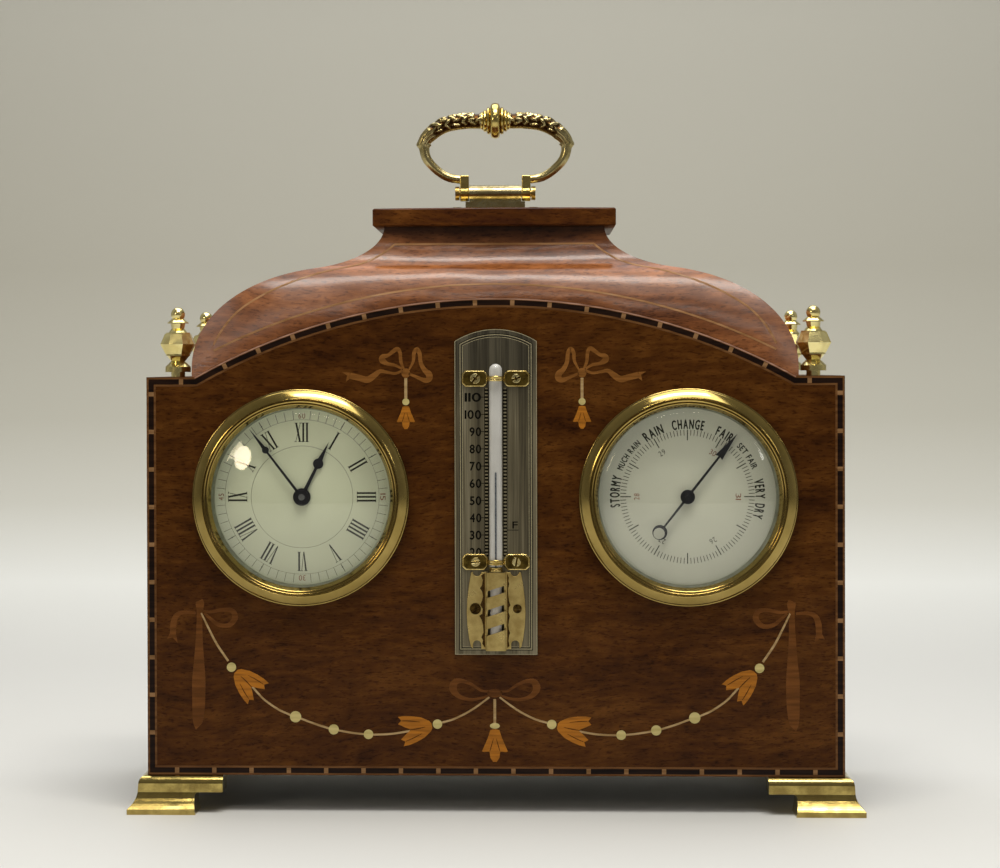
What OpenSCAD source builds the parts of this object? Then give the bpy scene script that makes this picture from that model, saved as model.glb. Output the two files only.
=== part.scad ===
// Desk compendium: a mahogany case on brass feet with a clock, a thermometer and an aneroid
// barometer in its front. +X is right seen from the front, the front faces -Y, +Z is up.
// The origin is on the table, under the middle of the whole object.

/* [Case] */
// Width of the case over its front panel
case_w = 260; // [256:1:320]
// Depth of the case from front face to back face
case_d = 105; // [100:1:130]
// Height of the case from its bottom edge to the shoulders
case_h = 149; // [146:1:180]
// Thickness of the front and back panels
panel_t = 6; // [5:0.5:7]
// Thickness of the side boards
side_t = 8; // [6:0.5:10]
// Thickness of the base board
base_t = 7; // [6:0.5:10]
// Thickness of the shoulder boards that carry the finials
deck_t = 7; // [6:0.5:10]
// Width of each flat shoulder beside the arch
shoulder_w = 18; // [18:0.5:22]
// Rise of the arch above the shoulders
arch_rise = 29.3; // [24:0.1:31]
// Side of the square glue blocks in the corners
block_w = 12; // [8:1:16]

/* [Roof] */
// Distance from the case's side to the foot of the roof
roof_set = 17; // [17:0.5:17.5]
// Height of the roof above the shoulders
roof_h = 56.8; // [54:0.1:64]
// Width of the roof's neck under the top board
neck_w = 83.2; // [70:0.1:90]
// Depth of the roof's neck
neck_d = 73; // [66:0.5:80]
// Height of the short upright at the foot of the roof
roof_upright = 3; // [2:0.5:5]
// Height where the roof's curve turns from hollow to round
roof_turn_h = 41; // [39:0.5:43]
// Share of the roof's inward run where the curve turns
roof_turn = 0.64; // [0.6:0.01:0.68]
// Thickness of the roof's wall
roof_wall = 6; // [4:0.5:8]
// Width of the top board
board_w = 92; // [90:0.5:110]
// Depth of the top board
board_d = 82; // [80:0.5:100]
// Thickness of the top board
board_t = 6.8; // [6:0.1:9]
// How far the top board's front and back edges bow out
board_bow = 4; // [2:0.5:6]

/* [Feet and finials] */
// Height that the feet hold the case above the table
foot_h = 14.5; // [13:0.5:20]
// Reach of a foot's rail along the case, from the case's corner
foot_reach = 28.5; // [26:0.5:40]
// Width of a foot's block, from the case's corner
foot_block = 18; // [16:0.5:20]
// How far a foot flares out beyond the case
foot_flare = 7; // [5:0.1:8]
// Height of a foot's rail
foot_rail = 6; // [5:0.1:7]
// Height of a foot's plinth
foot_plinth = 2.5; // [2:0.1:4]
// Wall of a cast foot
foot_wall = 9; // [7:0.5:12]
// Distance of each finial from the case's sides
finial_set = 10.5; // [8:0.5:11]
// Height of a finial above the shoulder
finial_h = 26.3; // [24:0.1:34]
// Largest diameter of a finial
finial_d = 13.8; // [11:0.1:15]

/* [Handle] */
// Overall width of the handle
handle_w = 60; // [58:0.5:70]
// Height of the handle's top rod above its pivots
handle_h = 28.4; // [27:0.1:32]
// Diameter of the handle's top rod
handle_rod = 6.3; // [5:0.1:7]
// Height of the pivot above the top board
pivot_h = 8; // [8:0.1:11]
// Length of the pivot barrel between the lugs
barrel_l = 20.4; // [18:0.2:24]
// Diameter of the pivot barrel
barrel_d = 6.3; // [5.5:0.1:6.5]
// Thickness of a handle lug
lug_t = 3.4; // [3:0.1:4]
// Diameter of a pivot screw's shank
pivot_d = 2.8; // [2.4:0.1:3]

/* [Instruments] */
// Distance of each dial's centre from the case's side
dial_set = 58; // [55:0.5:60]
// Height of the dials' centres above the case's bottom edge
dial_h = 104; // [100:0.5:106]
// Outer diameter of a bezel
bezel_d = 80; // [78:0.5:84]
// Diameter of the dial that shows inside a bezel
sight_d = 66.2; // [62:0.2:67]
// How far the domed glasses stand out from the front panel
glass_proud = 9; // [8:0.1:12]
// Radius of the domed glasses
glass_r = 90; // [85:1:120]
// Thickness of the glasses
glass_t = 1.4; // [1:0.1:2]
// Depth of the dial's face behind the front panel's face
dial_sink = 3; // [2.5:0.1:4]
// Thickness of a dial
dial_t = 0.8; // [0.5:0.1:1.2]
// Outer diameter of the two drums
drum_d = 68.8; // [68.4:0.1:69]
// Wall of the two drums
drum_wall = 0.8; // [0.6:0.1:1.2]
// Length of the clock's drum behind its dial
clock_drum_l = 34; // [34:1:44]
// Length of the barometer's drum behind its dial
baro_drum_l = 26.2; // [26:0.1:36]

/* [Clock] */
// Diameter of the centre arbor
arbor_d = 2.4; // [2:0.1:2.6]
// Thickness of a movement plate
plate_t = 1.6; // [1.4:0.1:1.8]
// Distance between the movement plates
plate_gap = 13.8; // [13.6:0.1:14.6]
// Length of the hour hand
hour_hand_l = 23; // [18:0.5:26]
// Gap between the minute hand's tip and the ring round the dial
minute_tip_gap = 0.9; // [0.6:0.1:6]
// Hour hand's angle clockwise from twelve
hour_angle = 26.4; // [0:0.1:360]
// Minute hand's angle clockwise from twelve
minute_angle = 322.5; // [0:0.1:360]
// Diameter of the balance wheel
balance_d = 16; // [12:0.5:17]
// Diameter of the hand-setting knob
set_knob_d = 10; // [8:0.5:14]
// Width of the winding key's grip
key_w = 16; // [12:0.5:18]

/* [Barometer] */
// Gap between the barometer hand's tip and the ring round the dial
baro_tip_gap = 3.3; // [0.6:0.1:8]
// Barometer hand's angle clockwise from upright
baro_angle = 38.1; // [0:0.1:120]
// Diameter of the aneroid capsule
capsule_d = 32; // [26:0.5:40]
// Thickness of the aneroid capsule
capsule_t = 8; // [6:0.1:8.2]

/* [Thermometer] */
// Distance of the thermometer to the right of the front's middle
therm_x = 0.7; // [-1:0.1:1.5]
// Width of the thermometer's plate
therm_w = 30.6; // [30:0.2:36]
// Height of the plate's straight sides
therm_h = 116.7; // [114:0.1:120]
// Rise of the plate's arched top
therm_rise = 4.5; // [3:0.1:8]
// Height of the plate's bottom edge above the case's bottom edge
therm_z = 45.4; // [42:0.1:48]
// Thickness of the plate
therm_t = 1.2; // [1:0.1:1.6]
// Diameter of the thermometer tube
tube_d = 5; // [4:0.1:5.2]
// Length of the tube above the bulb guard
tube_l = 77.4; // [76:0.1:80]
// Height of the mercury above the bulb guard
mercury_l = 37; // [5:0.5:70]
// Height of the bulb guard
guard_h = 29; // [28:0.5:31]
// Width of the bulb guard
guard_w = 22.4; // [22:0.2:24]

/* [Back] */
// Diameter of the opening behind the clock
port_d = 72; // [66:0.5:74]
// Diameter of the hole behind the barometer's screw
port_hole_d = 10; // [6:0.5:16]
// Diameter of the brass back door
door_d = 78; // [76:0.5:79]
// Thickness of the brass back door
door_t = 1.2; // [1:0.1:1.6]

/* [Hidden] */
// Fine facets for round work
$fn = 96;
// Running clearance on the radius of a pivot in its hole
run = 0.06;
// Clearance between a drum and what it slides into
slip = 0.2;
// Clearance beside moving work
side_gap = 0.25;

case_y = (glass_proud - foot_flare) / 2;
front_y = case_y - case_d / 2;
back_y = case_y + case_d / 2;
shoulder_z = foot_h + case_h;
inner_d = case_d - 2 * panel_t;
roof_hw = case_w / 2 - roof_set;
board_z = shoulder_z + roof_h;
pivot_z = board_z + board_t + pivot_h;
dial_x = case_w / 2 - dial_set;
dial_z = foot_h + dial_h;
drum_r = drum_d / 2;
drum_in = drum_r - drum_wall;
dial_back = dial_sink + dial_t;
socket_r = drum_r + slip;
socket_wall = 1.3;
panel_hole_r = socket_r + socket_wall + 0.3;

// A point on a cubic curve between p[0] and p[3], drawn by p[1] and p[2]
function bez(p, t) =
    pow(1 - t, 3) * p[0] + 3 * t * pow(1 - t, 2) * p[1] + 3 * t * t * (1 - t) * p[2] + pow(t, 3) * p[3];

// A flat outline drawn in X and Z, from depth d0 to depth d1 behind the front panel's face
module layer(d0, d1) {
    translate([0, front_y + d1, 0]) rotate([90, 0, 0]) linear_extrude(d1 - d0) children();
}

// A flat disc or shaft at x and z, square to the front
module shaft(x, z, r, d0, d1) {
    layer(d0, d1) translate([x, z]) circle(r);
}

// An outline of radius and height, turned about a line square to the front
module turned(x, z) {
    translate([x, front_y, z]) rotate([90, 0, 0]) rotate_extrude() children();
}

// Places its children at each angle on a circle in the front's plane
module around(r, angles) {
    for (a = angles) translate([r * cos(a), r * sin(a)]) children();
}

// Outline of the front and back panels, with the arched head
module panel_outline() {
    chord = case_w / 2 - shoulder_w;
    arch_r = (chord * chord + arch_rise * arch_rise) / (2 * arch_rise);
    translate([-case_w / 2, foot_h]) square([case_w, case_h]);
    intersection() {
        translate([0, shoulder_z + arch_rise - arch_r]) circle(arch_r, $fn = 360);
        translate([-chord, shoulder_z - 1]) square([2 * chord, arch_rise + 2]);
    }
}

module front_panel() {
    color("#4a2a14") difference() {
        layer(0, panel_t) difference() {
            panel_outline();
            for (x = [-dial_x, dial_x]) translate([x, dial_z]) circle(panel_hole_r);
        }
        therm_screw_places() shaft(0, 0, therm_screw_d / 2, -1, therm_screw_depth);
    }
}

module back_panel() {
    color("#45270f") layer(case_d - panel_t, case_d) difference() {
        panel_outline();
        translate([-dial_x, dial_z]) circle(port_d / 2);
        translate([dial_x, dial_z - adjust_drop]) circle(port_hole_d / 2);
    }
}

module side_board(s) {
    x0 = s > 0 ? case_w / 2 - side_t : -case_w / 2;
    color("#4a2a14") translate([x0, front_y + panel_t, foot_h]) cube([side_t, inner_d, case_h - deck_t]);
}

module left_side() {
    side_board(-1);
}

module right_side() {
    side_board(1);
}

// Each foot screw's place inward from its corner
foot_screw_u = 15;
foot_screw_v = 22;
foot_screw_d = 2.4;
foot_screw_l = 5;
foot_plate_t = 2.2;

module corner(sx, sy) {
    translate([sx * case_w / 2, case_y + sy * case_d / 2, 0])
        mirror([sx > 0 ? 1 : 0, 0, 0])
            mirror([0, sy > 0 ? 1 : 0, 0]) children();
}

module foot_screw_places() {
    for (sx = [-1, 1], sy = [-1, 1]) corner(sx, sy) foot_screw_pair() children();
}

module foot_screw_pair() {
    translate([foot_screw_u, foot_screw_v, foot_h]) children();
    translate([foot_screw_v, foot_screw_u, foot_h]) children();
}

module base_board() {
    color("#5a3a22") difference() {
        translate([-case_w / 2 + side_t, front_y + panel_t, foot_h])
            cube([case_w - 2 * side_t, inner_d, base_t]);
        foot_screw_places() translate([0, 0, -1]) cylinder(h = foot_screw_l + 1, d = foot_screw_d);
    }
}

deck_in = 9;
peg_d = 3;
peg_l = 5;

// A shoulder board reaches under the foot of the roof
module shoulder_board(s) {
    w = roof_set + deck_in;
    color("#4a2a14") difference() {
        translate([s > 0 ? case_w / 2 - w : -case_w / 2, front_y + panel_t, shoulder_z - deck_t])
            cube([w, inner_d, deck_t]);
        for (sy = [-1, 1]) finial_place(s, sy) translate([0, 0, -peg_l]) cylinder(h = peg_l + 1, d = peg_d);
    }
}

module left_shoulder() {
    shoulder_board(-1);
}

module right_shoulder() {
    shoulder_board(1);
}

module glue_blocks() {
    x = case_w / 2 - side_t;
    color("#8a6a45") for (sx = [-1, 1], y = [front_y + panel_t, back_y - panel_t - block_w])
        translate([sx > 0 ? x - block_w : -x, y, foot_h + base_t])
            cube([block_w, block_w, case_h - base_t - deck_t]);
}

// The roof's rising line: x runs inward from 0 to run_in, y is the height
roof_steps = 12;
function roof_line(run_in) =
    let (tx = roof_turn * run_in,
         k = run_in / 71.4,
         round_part = [[0, roof_upright], [0, roof_upright + 19.8],
                       [tx - 26.8 * k, roof_turn_h - 3.8], [tx, roof_turn_h]],
         hollow_part = [[tx, roof_turn_h], [tx + 14.2 * k, roof_turn_h + 2],
                        [run_in, roof_h - 7.9], [run_in, roof_h]])
    concat([[0, 0]], [for (i = [0:roof_steps]) bez(round_part, i / roof_steps)],
           [for (i = [1:roof_steps]) bez(hollow_part, i / roof_steps)]);

// Cross-section of the roof, half_base wide at the foot and half_neck wide at the neck
module roof_section(half_base, half_neck, wall) {
    line = roof_line(half_base - half_neck);
    right = [for (p = line) [half_base - p[0] - wall, max(p[1] - wall, 0)]];
    polygon(concat(right, [for (i = [len(right) - 1:-1:0]) [-right[i][0], right[i][1]]]));
}

module roof_block(wall) {
    intersection() {
        translate([0, back_y, shoulder_z]) rotate([90, 0, 0])
            linear_extrude(case_d) roof_section(roof_hw, neck_w / 2, wall);
        translate([-case_w / 2, case_y, shoulder_z]) rotate([90, 0, 90])
            linear_extrude(case_w) roof_section(case_d / 2, neck_d / 2, wall > 0 ? wall + panel_t : 0);
    }
}

module roof() {
    color("#6a3a22") difference() {
        roof_block(0);
        layer(-1, panel_t) panel_outline();
        layer(case_d - panel_t, case_d + 1) panel_outline();
        translate([0, 0, -0.01]) roof_block(roof_wall);
    }
}

base_screw_x = 15;
base_screw_d = 1.8;
base_screw_l = 5;

module top_board() {
    bow_r = (board_w * board_w / 4 + board_bow * board_bow) / (2 * board_bow);
    color("#6a3a22") difference() {
        translate([0, case_y, board_z]) linear_extrude(board_t) intersection() {
            square([board_w, board_d], center = true);
            translate([0, bow_r - board_d / 2]) circle(bow_r, $fn = 360);
            translate([0, board_d / 2 - bow_r]) circle(bow_r, $fn = 360);
        }
        for (s = [-1, 1]) translate([s * base_screw_x, case_y, board_z + board_t - base_screw_l])
            cylinder(h = base_screw_l + 1, d = base_screw_d);
    }
}

// Outline of a foot: outward is negative, from its flared plinth up to the top
module foot_outline() {
    rail_z = foot_h - foot_rail;
    cove = [[-3.4, rail_z], [-3.9, rail_z - 3.4],
            [-foot_flare + 0.8, foot_plinth + 0.6], [-foot_flare, foot_plinth]];
    bead = [[-0.8, foot_h], [-2.4, foot_h - 0.3], [-3.1, foot_h - 1.4], [-3.2, foot_h - 2.8]];
    r = 1.6;
    difference() {
        polygon(concat(
            [[foot_reach, rail_z], [foot_reach, foot_h]],
            [for (i = [0:5]) bez(bead, i / 5)],
            [for (i = [0:8]) bez(cove, i / 8)],
            [[-foot_flare, 0], [foot_block + 0.8, 0], [foot_block, foot_plinth + 2],
             [foot_block, rail_z - r], [foot_block + r, rail_z - r], [foot_block + r, rail_z]]));
        translate([foot_block + r, rail_z - r]) circle(r);
    }
}

module foot(sx, sy) {
    span = foot_flare + foot_reach;
    color("#c9a24a") corner(sx, sy) difference() {
        intersection() {
            translate([0, foot_reach, 0]) rotate([90, 0, 0]) linear_extrude(span) foot_outline();
            translate([-foot_flare, 0, 0]) rotate([90, 0, 90]) linear_extrude(span) foot_outline();
        }
        translate([foot_wall, foot_wall, -1])
            cube([foot_reach, foot_reach, foot_h - foot_plate_t + 1]);
        foot_screw_pair() translate([0, 0, -foot_plate_t - 1])
            cylinder(h = foot_plate_t + 2, d = foot_screw_d);
    }
}

module front_left_foot() {
    foot(-1, -1);
}

module front_right_foot() {
    foot(1, -1);
}

module rear_left_foot() {
    foot(-1, 1);
}

module rear_right_foot() {
    foot(1, 1);
}

module foot_screws() {
    color("#8a6d32") foot_screw_places() {
        translate([0, 0, -foot_plate_t]) cylinder(h = foot_plate_t + foot_screw_l, d = foot_screw_d);
        translate([0, 0, -foot_plate_t - 1.2]) cylinder(h = 1.2, d = 2 * foot_screw_d);
    }
}

module finial_place(sx, sy) {
    translate([sx * (case_w / 2 - finial_set), case_y + sy * (case_d / 2 - finial_set), shoulder_z])
        children();
}

// A turned finial with an eight-sided belly, on a peg let into the shoulder
module finial(sx, sy) {
    k = finial_h / 26.3;
    r = finial_d / 2;
    color("#c9a24a") finial_place(sx, sy) {
        translate([0, 0, -peg_l]) cylinder(h = peg_l + k, d = peg_d);
        rotate_extrude() polygon(concat(
            [[0, 0], [0.38 * r, 0], [0.38 * r, 1.9 * k], [0.7 * r, 1.9 * k], [0.7 * r, 3.9 * k]],
            [[0.39 * r, 6 * k], [0.62 * r, 8 * k], [0.66 * r, 8 * k], [0.66 * r, 8.7 * k], [0.5 * r, 8.7 * k]],
            [[0.5 * r, 16.3 * k], [0.66 * r, 16.3 * k], [0.66 * r, 16.8 * k], [0.52 * r, 16.8 * k]],
            [[0.35 * r, 18.3 * k], [0.4 * r, 20.2 * k], [0.575 * r, 20.2 * k], [0.575 * r, 20.6 * k]],
            [[0.26 * r, 22.4 * k], [0, 22.4 * k]]));
        rotate(22.5) rotate_extrude($fn = 8) polygon([[0.3 * r, 8.6 * k], [0.7 * r, 8.6 * k],
            [r, 12.4 * k], [0.74 * r, 16.4 * k], [0.3 * r, 16.4 * k]]);
        translate([0, 0, finial_h - 0.385 * r]) sphere(0.385 * r);
    }
}

module front_left_finial() {
    finial(-1, -1);
}

module front_right_finial() {
    finial(1, -1);
}

module rear_left_finial() {
    finial(-1, 1);
}

module rear_right_finial() {
    finial(1, 1);
}

lug_x = barrel_l / 2 + side_gap;
lug_w = 5.2;
lug_top = 6.9;
lug_round = 3.1;
head_t = 1.6;
head_d = 5.4;

// Half of the handle's middle line from the lug to the knob, as x, z and diameter
handle_points = [
    [lug_x + lug_t / 2, 5.3, 3], [handle_w * 0.3, 6.2, 3.1], [handle_w * 0.38, 9.2, 3.3],
    [handle_w / 2 - 3.2, 13.4, 3.6], [handle_w / 2 - 2.1, 18, 4.1],
    [handle_w * 0.45, handle_h - 6.6, 5.4], [handle_w * 0.385, handle_h - 3.3, 6],
    [handle_w * 0.3, handle_h - 0.9, handle_rod], [handle_w * 0.15, handle_h, handle_rod],
    [0, handle_h, handle_rod]
];
handle_fine = 3;

// A smooth curve through the points, with handle_fine steps between two of them
function smooth_point(p, i, t) =
    let (a = p[max(i - 1, 0)], b = p[i], c = p[i + 1], d = p[min(i + 2, len(p) - 1)])
    0.5 * ((2 * b) + (c - a) * t + (2 * a - 5 * b + 4 * c - d) * t * t + (3 * b - a - 3 * c + d) * t * t * t);
function smooth_line(p) = concat(
    [for (i = [0:len(p) - 2], j = [0:handle_fine - 1]) smooth_point(p, i, j / handle_fine)],
    [p[len(p) - 1]]);

// A round rod swept along a line in X and Z
rod_sides = 12;
module swept_rod(line) {
    n = len(line);
    ring = [for (i = [0:n - 1])
        let (a = line[max(i - 1, 0)], b = line[min(i + 1, n - 1)],
             dx = b[0] - a[0], dz = b[1] - a[1], l = norm([dx, dz]))
        for (s = [0:rod_sides - 1])
            let (c = line[i][2] / 2 * cos(s * 360 / rod_sides), q = line[i][2] / 2 * sin(s * 360 / rod_sides))
            [line[i][0] - c * dz / l, q, line[i][1] + c * dx / l]];
    sides = [for (i = [0:n - 2], s = [0:rod_sides - 1])
        let (a = i * rod_sides + s, b = i * rod_sides + (s + 1) % rod_sides)
        each [[a, b, b + rod_sides], [a, b + rod_sides, a + rod_sides]]];
    ends = [[for (s = [rod_sides - 1:-1:0]) s], [for (s = [0:rod_sides - 1]) (n - 1) * rod_sides + s]];
    polyhedron(ring, concat(sides, ends));
}

// The cast bail: two tapering arms, a ringed knob and two pierced lugs
module handle() {
    half = smooth_line(handle_points);
    whole = concat(half, [for (i = [len(half) - 2:-1:0]) [-half[i][0], half[i][1], half[i][2]]]);
    color("#c9a24a") translate([0, case_y, pivot_z]) {
        swept_rod(whole);
        translate([0, 0, handle_h]) rotate([0, 90, 0]) {
            cylinder(h = 4.3, d = 14, center = true);
            cylinder(h = 7, d = 10, center = true);
            cylinder(h = 11, d = 7.1, center = true);
        }
        for (s = [-1, 1]) translate([s * (lug_x + lug_t / 2), 0, 0]) difference() {
            rotate([0, 90, 0]) union() {
                cylinder(h = lug_t, r = lug_round, center = true);
                translate([-lug_top / 2, 0, 0]) cube([lug_top, lug_w, lug_t], center = true);
            }
            rotate([0, 90, 0]) cylinder(h = lug_t + 1, r = pivot_d / 2 + run, center = true);
        }
    }
}

base_flange_l = 36;
base_flange_w = 14;
base_flange_t = 1.5;
pivot_hole_l = 4;

// The handle's base: a screwed flange, a riser and the pivot barrel
module handle_base() {
    riser_l = barrel_l + 2.8;
    riser_h = pivot_h - lug_round - 0.4;
    color("#c9a24a") difference() {
        translate([0, case_y, board_z + board_t]) {
            translate([-base_flange_l / 2, -base_flange_w / 2, 0])
                cube([base_flange_l, base_flange_w, base_flange_t]);
            translate([-riser_l / 2, -5, 0]) cube([riser_l, 10, riser_h]);
            translate([-barrel_l / 2, -2, 0]) cube([barrel_l, 4, pivot_h]);
            translate([0, 0, pivot_h]) rotate([0, 90, 0]) cylinder(h = barrel_l, d = barrel_d, center = true);
        }
        for (s = [-1, 1]) {
            translate([s * base_screw_x, case_y, board_z + board_t - 1]) cylinder(h = 4, d = base_screw_d);
            translate([s * (barrel_l / 2 + 1), case_y, pivot_z]) rotate([0, 90, 0])
                cylinder(h = 2 * pivot_hole_l + 2, d = pivot_d, center = true);
        }
    }
}

// Two pivot screws through the lugs, and two wood screws through the base
module handle_screws() {
    color("#b58f3e") for (s = [-1, 1]) {
        translate([0, case_y, pivot_z]) rotate([0, 90 * s, 0]) {
            translate([0, 0, barrel_l / 2 - pivot_hole_l])
                cylinder(h = pivot_hole_l + lug_t + 2 * side_gap, d = pivot_d);
            translate([0, 0, lug_x + lug_t + side_gap]) cylinder(h = head_t, d = head_d);
        }
        translate([s * base_screw_x, case_y, board_z + board_t]) {
            translate([0, 0, -base_screw_l]) cylinder(h = base_screw_l + base_flange_t, d = base_screw_d);
            translate([0, 0, base_flange_t]) cylinder(h = 1, d = 2 * base_screw_d);
        }
    }
}

// Levels in front of the panel where the glass's rim is held
lip_h = 3.2;
rim_t = 1.4;
rim_low = lip_h - rim_t;
lip_t = 1.9;

// A brass bezel: outer bead, broad round ring, inner sight lip and a socket through the panel
module bezel(x) {
    r = bezel_d / 2;
    s = sight_d / 2;
    color("#c9a24a") turned(x, dial_z) {
        difference() {
            union() {
                translate([socket_r, 0]) square([r - socket_r, 1.6]);
                translate([r - 1, 1.6]) circle(1);
                translate([s + 1.6, 1.4]) square([3.6, 3.6]);
                translate([s + 3.3, 5]) circle(1.9);
                translate([s, lip_h]) square([2.2, lip_t]);
                translate([s + 0.6, lip_h + lip_t]) circle(0.5);
            }
            translate([0, -1]) square([socket_r, lip_h + 1]);
        }
        translate([socket_r, -panel_t + 0.5]) square([socket_wall, panel_t + 1]);
    }
}

// A domed glass with a flat rim that seats under the bezel's lip
module glass(x) {
    s = sight_d / 2;
    color("#dfe9e6", 0.35) turned(x, dial_z) {
        intersection() {
            difference() {
                translate([0, glass_proud - glass_r]) circle(glass_r, $fn = 360);
                translate([0, glass_proud - glass_r]) circle(glass_r - glass_t, $fn = 360);
            }
            translate([0, 0]) square([s - 0.3, glass_proud + 1]);
        }
        translate([s - 1.3, rim_low]) square([drum_r - s + 1.3, rim_t]);
    }
}

// The sloping ring between the dial and the glass
module sight_ring(x) {
    s = sight_d / 2;
    color("#d8c27a") turned(x, dial_z)
        polygon([[drum_r, -dial_sink], [drum_r, rim_low], [s + 0.9, rim_low], [s - 0.2, -dial_sink]]);
}

module dial(x, hole_r) {
    color("#eef0e6") layer(dial_sink, dial_back) translate([x, dial_z]) difference() {
        circle(drum_r);
        circle(hole_r);
    }
}

pipe_wall = 0.75;
pipe_r = arbor_d / 2 + run + pipe_wall;

module clock_bezel() {
    bezel(-dial_x);
}

module clock_glass() {
    glass(-dial_x);
}

module clock_sight_ring() {
    sight_ring(-dial_x);
}

module clock_dial() {
    dial(-dial_x, pipe_r + 0.3);
}

drum_end = dial_back + clock_drum_l;
cover_t = 1;
plate_front = dial_back + 4.8;
between = plate_front + plate_t;
plate_back = between + plate_gap;
movement_end = plate_back + plate_t;
// Train: teeth of each wheel and pinion, and the module that sets their size
motion_mod = 0.5;
hour_mod = 0.48;
train_mod = 0.4;
cannon_teeth = 12;
minute_teeth = 36;
minute_pinion_teeth = 10;
hour_teeth = 40;
centre_pinion_teeth = 12;
barrel_teeth = 72;
centre_teeth = 60;
third_pinion_teeth = 8;
// Centre distances and directions from the clock's centre
minute_dist = motion_mod * (cannon_teeth + minute_teeth) / 2;
minute_dir = 0;
barrel_dist = train_mod * (centre_pinion_teeth + barrel_teeth) / 2;
barrel_dir = 215;
third_dist = train_mod * (centre_teeth + third_pinion_teeth) / 2;
third_dir = 40;
balance_rise = 17;
winder_r = 1.5;
third_r = 0.6;
stud_r = 0.8;
staff_r = 0.4;
pillar_r = 1.8;
pillar_ring = 27.5;
pillar_dirs = [95, 155, 278, 345];

// Moves a flat outline to a place r from the clock's centre
module at_clock(r, dir) {
    translate([-dial_x + r * cos(dir), dial_z + r * sin(dir)]) children();
}

// A wheel's or pinion's outline; tooth or space first at angle dir
module teeth(n, m, dir, space) {
    tip = n * m / 2 + 0.6 * m;
    root = n * m / 2 - 0.9 * m;
    turn = dir + (space ? 180 / n : 0);
    polygon([for (i = [0:2 * n - 1])
        let (r = i % 2 == 0 ? tip : root, a = turn + i * 180 / n) [r * cos(a), r * sin(a)]]);
}

// Crossed-out wheel: rim, hub and arms
module crossings(rim_r, hub_r, arm_w) {
    difference() {
        circle(rim_r);
        circle(hub_r);
        for (a = [0, 90]) rotate(a) square([2 * rim_r, arm_w], center = true);
    }
}

module clock_drum() {
    color("#b8923f") layer(dial_back, drum_end) at_clock(0, 0) difference() {
        circle(drum_r);
        circle(drum_in);
    }
}

module clock_cover() {
    color("#b8923f") layer(drum_end, drum_end + cover_t) difference() {
        at_clock(0, 0) circle(drum_r);
        at_clock(0, 0) circle(arbor_d / 2 + 0.5);
        at_clock(barrel_dist, barrel_dir) circle(winder_r + 0.5);
    }
}

module plate_holes() {
    at_clock(0, 0) circle(arbor_d / 2 + run);
    at_clock(barrel_dist, barrel_dir) circle(winder_r + run);
    at_clock(third_dist, third_dir) circle(third_r + run);
}

module movement_plates() {
    color("#c6a352") {
        layer(plate_front, between) difference() {
            at_clock(0, 0) circle(drum_in);
            plate_holes();
        }
        layer(plate_back, movement_end) difference() {
            at_clock(0, 0) circle(drum_in);
            plate_holes();
        }
    }
}

module movement_pillars() {
    color("#c6a352") {
        layer(between, plate_back) at_clock(0, 0) around(pillar_ring, pillar_dirs) circle(pillar_r);
        layer(dial_back + 0.2, plate_front) at_clock(minute_dist, minute_dir) circle(stud_r);
    }
}

// A clock hand at an angle and level: pierced hub, pear and tapering pointer
module clock_hand(level, angle, l, hub_r, hole_r, pear_at, pear_r, w) {
    foot = hub_r - 0.4;
    layer(level, level + hand_t) at_clock(0, 0) difference() {
        circle(hub_r);
        circle(hole_r);
    }
    layer(level, level + hand_t) at_clock(0, 0) rotate(-angle) translate([0, pear_at]) circle(pear_r);
    layer(level, level + hand_t) at_clock(0, 0) rotate(-angle)
        polygon([[-w / 2, foot], [-w * 0.36, pear_at], [-w * 0.7, pear_at + pear_r * 0.6], [0, l],
                 [w * 0.7, pear_at + pear_r * 0.6], [w * 0.36, pear_at], [w / 2, foot]]);
}

minute_level = dial_sink - 2.1;
hour_level = dial_sink - 1.1;
hand_t = 0.4;

module centre_arbor() {
    color("#9a9a94") {
        layer(minute_level - 0.6, drum_end + 6) at_clock(0, 0) circle(arbor_d / 2);
        layer(dial_back + 2.2, dial_back + 3.8) at_clock(0, 0)
            teeth(cannon_teeth, motion_mod, minute_dir, false);
        layer(between + 0.6, between + 2.2) at_clock(0, 0)
            teeth(centre_pinion_teeth, train_mod, barrel_dir, false);
        layer(plate_back - 3.6, plate_back - 2.6) at_clock(0, 0) difference() {
            teeth(centre_teeth, train_mod, third_dir, false);
            crossings(9.6, 3, 2);
        }
        layer(drum_end + cover_t + 1, drum_end + cover_t + 4) at_clock(0, 0) circle(set_knob_d / 2);
    }
}

module minute_hand() {
    color("#1c2430")
        clock_hand(minute_level, minute_angle, sight_d / 2 - minute_tip_gap, 2.6, arbor_d / 2, 22.2, 1.3, 1);
}

module hour_wheel() {
    color("#c6a352") {
        layer(hour_level, dial_back + 1.4) at_clock(0, 0) difference() {
            circle(pipe_r);
            circle(arbor_d / 2 + run);
        }
        layer(dial_back + 0.4, dial_back + 1.4) at_clock(0, 0) difference() {
            teeth(hour_teeth, hour_mod, minute_dir, true);
            circle(arbor_d / 2 + run);
        }
    }
}

module hour_hand() {
    color("#1c2430") clock_hand(hour_level, hour_angle, hour_hand_l, 3.3, pipe_r, 13.9, 1.95, 1.4);
}

module minute_wheel() {
    color("#c6a352") {
        layer(dial_back + 2.4, dial_back + 3.6) at_clock(minute_dist, minute_dir) difference() {
            teeth(minute_teeth, motion_mod, minute_dir + 180, true);
            circle(stud_r + run);
        }
        layer(dial_back + 0.3, dial_back + 2.4) at_clock(minute_dist, minute_dir) difference() {
            teeth(minute_pinion_teeth, hour_mod, minute_dir + 180, false);
            circle(stud_r + run);
        }
    }
}

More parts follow.
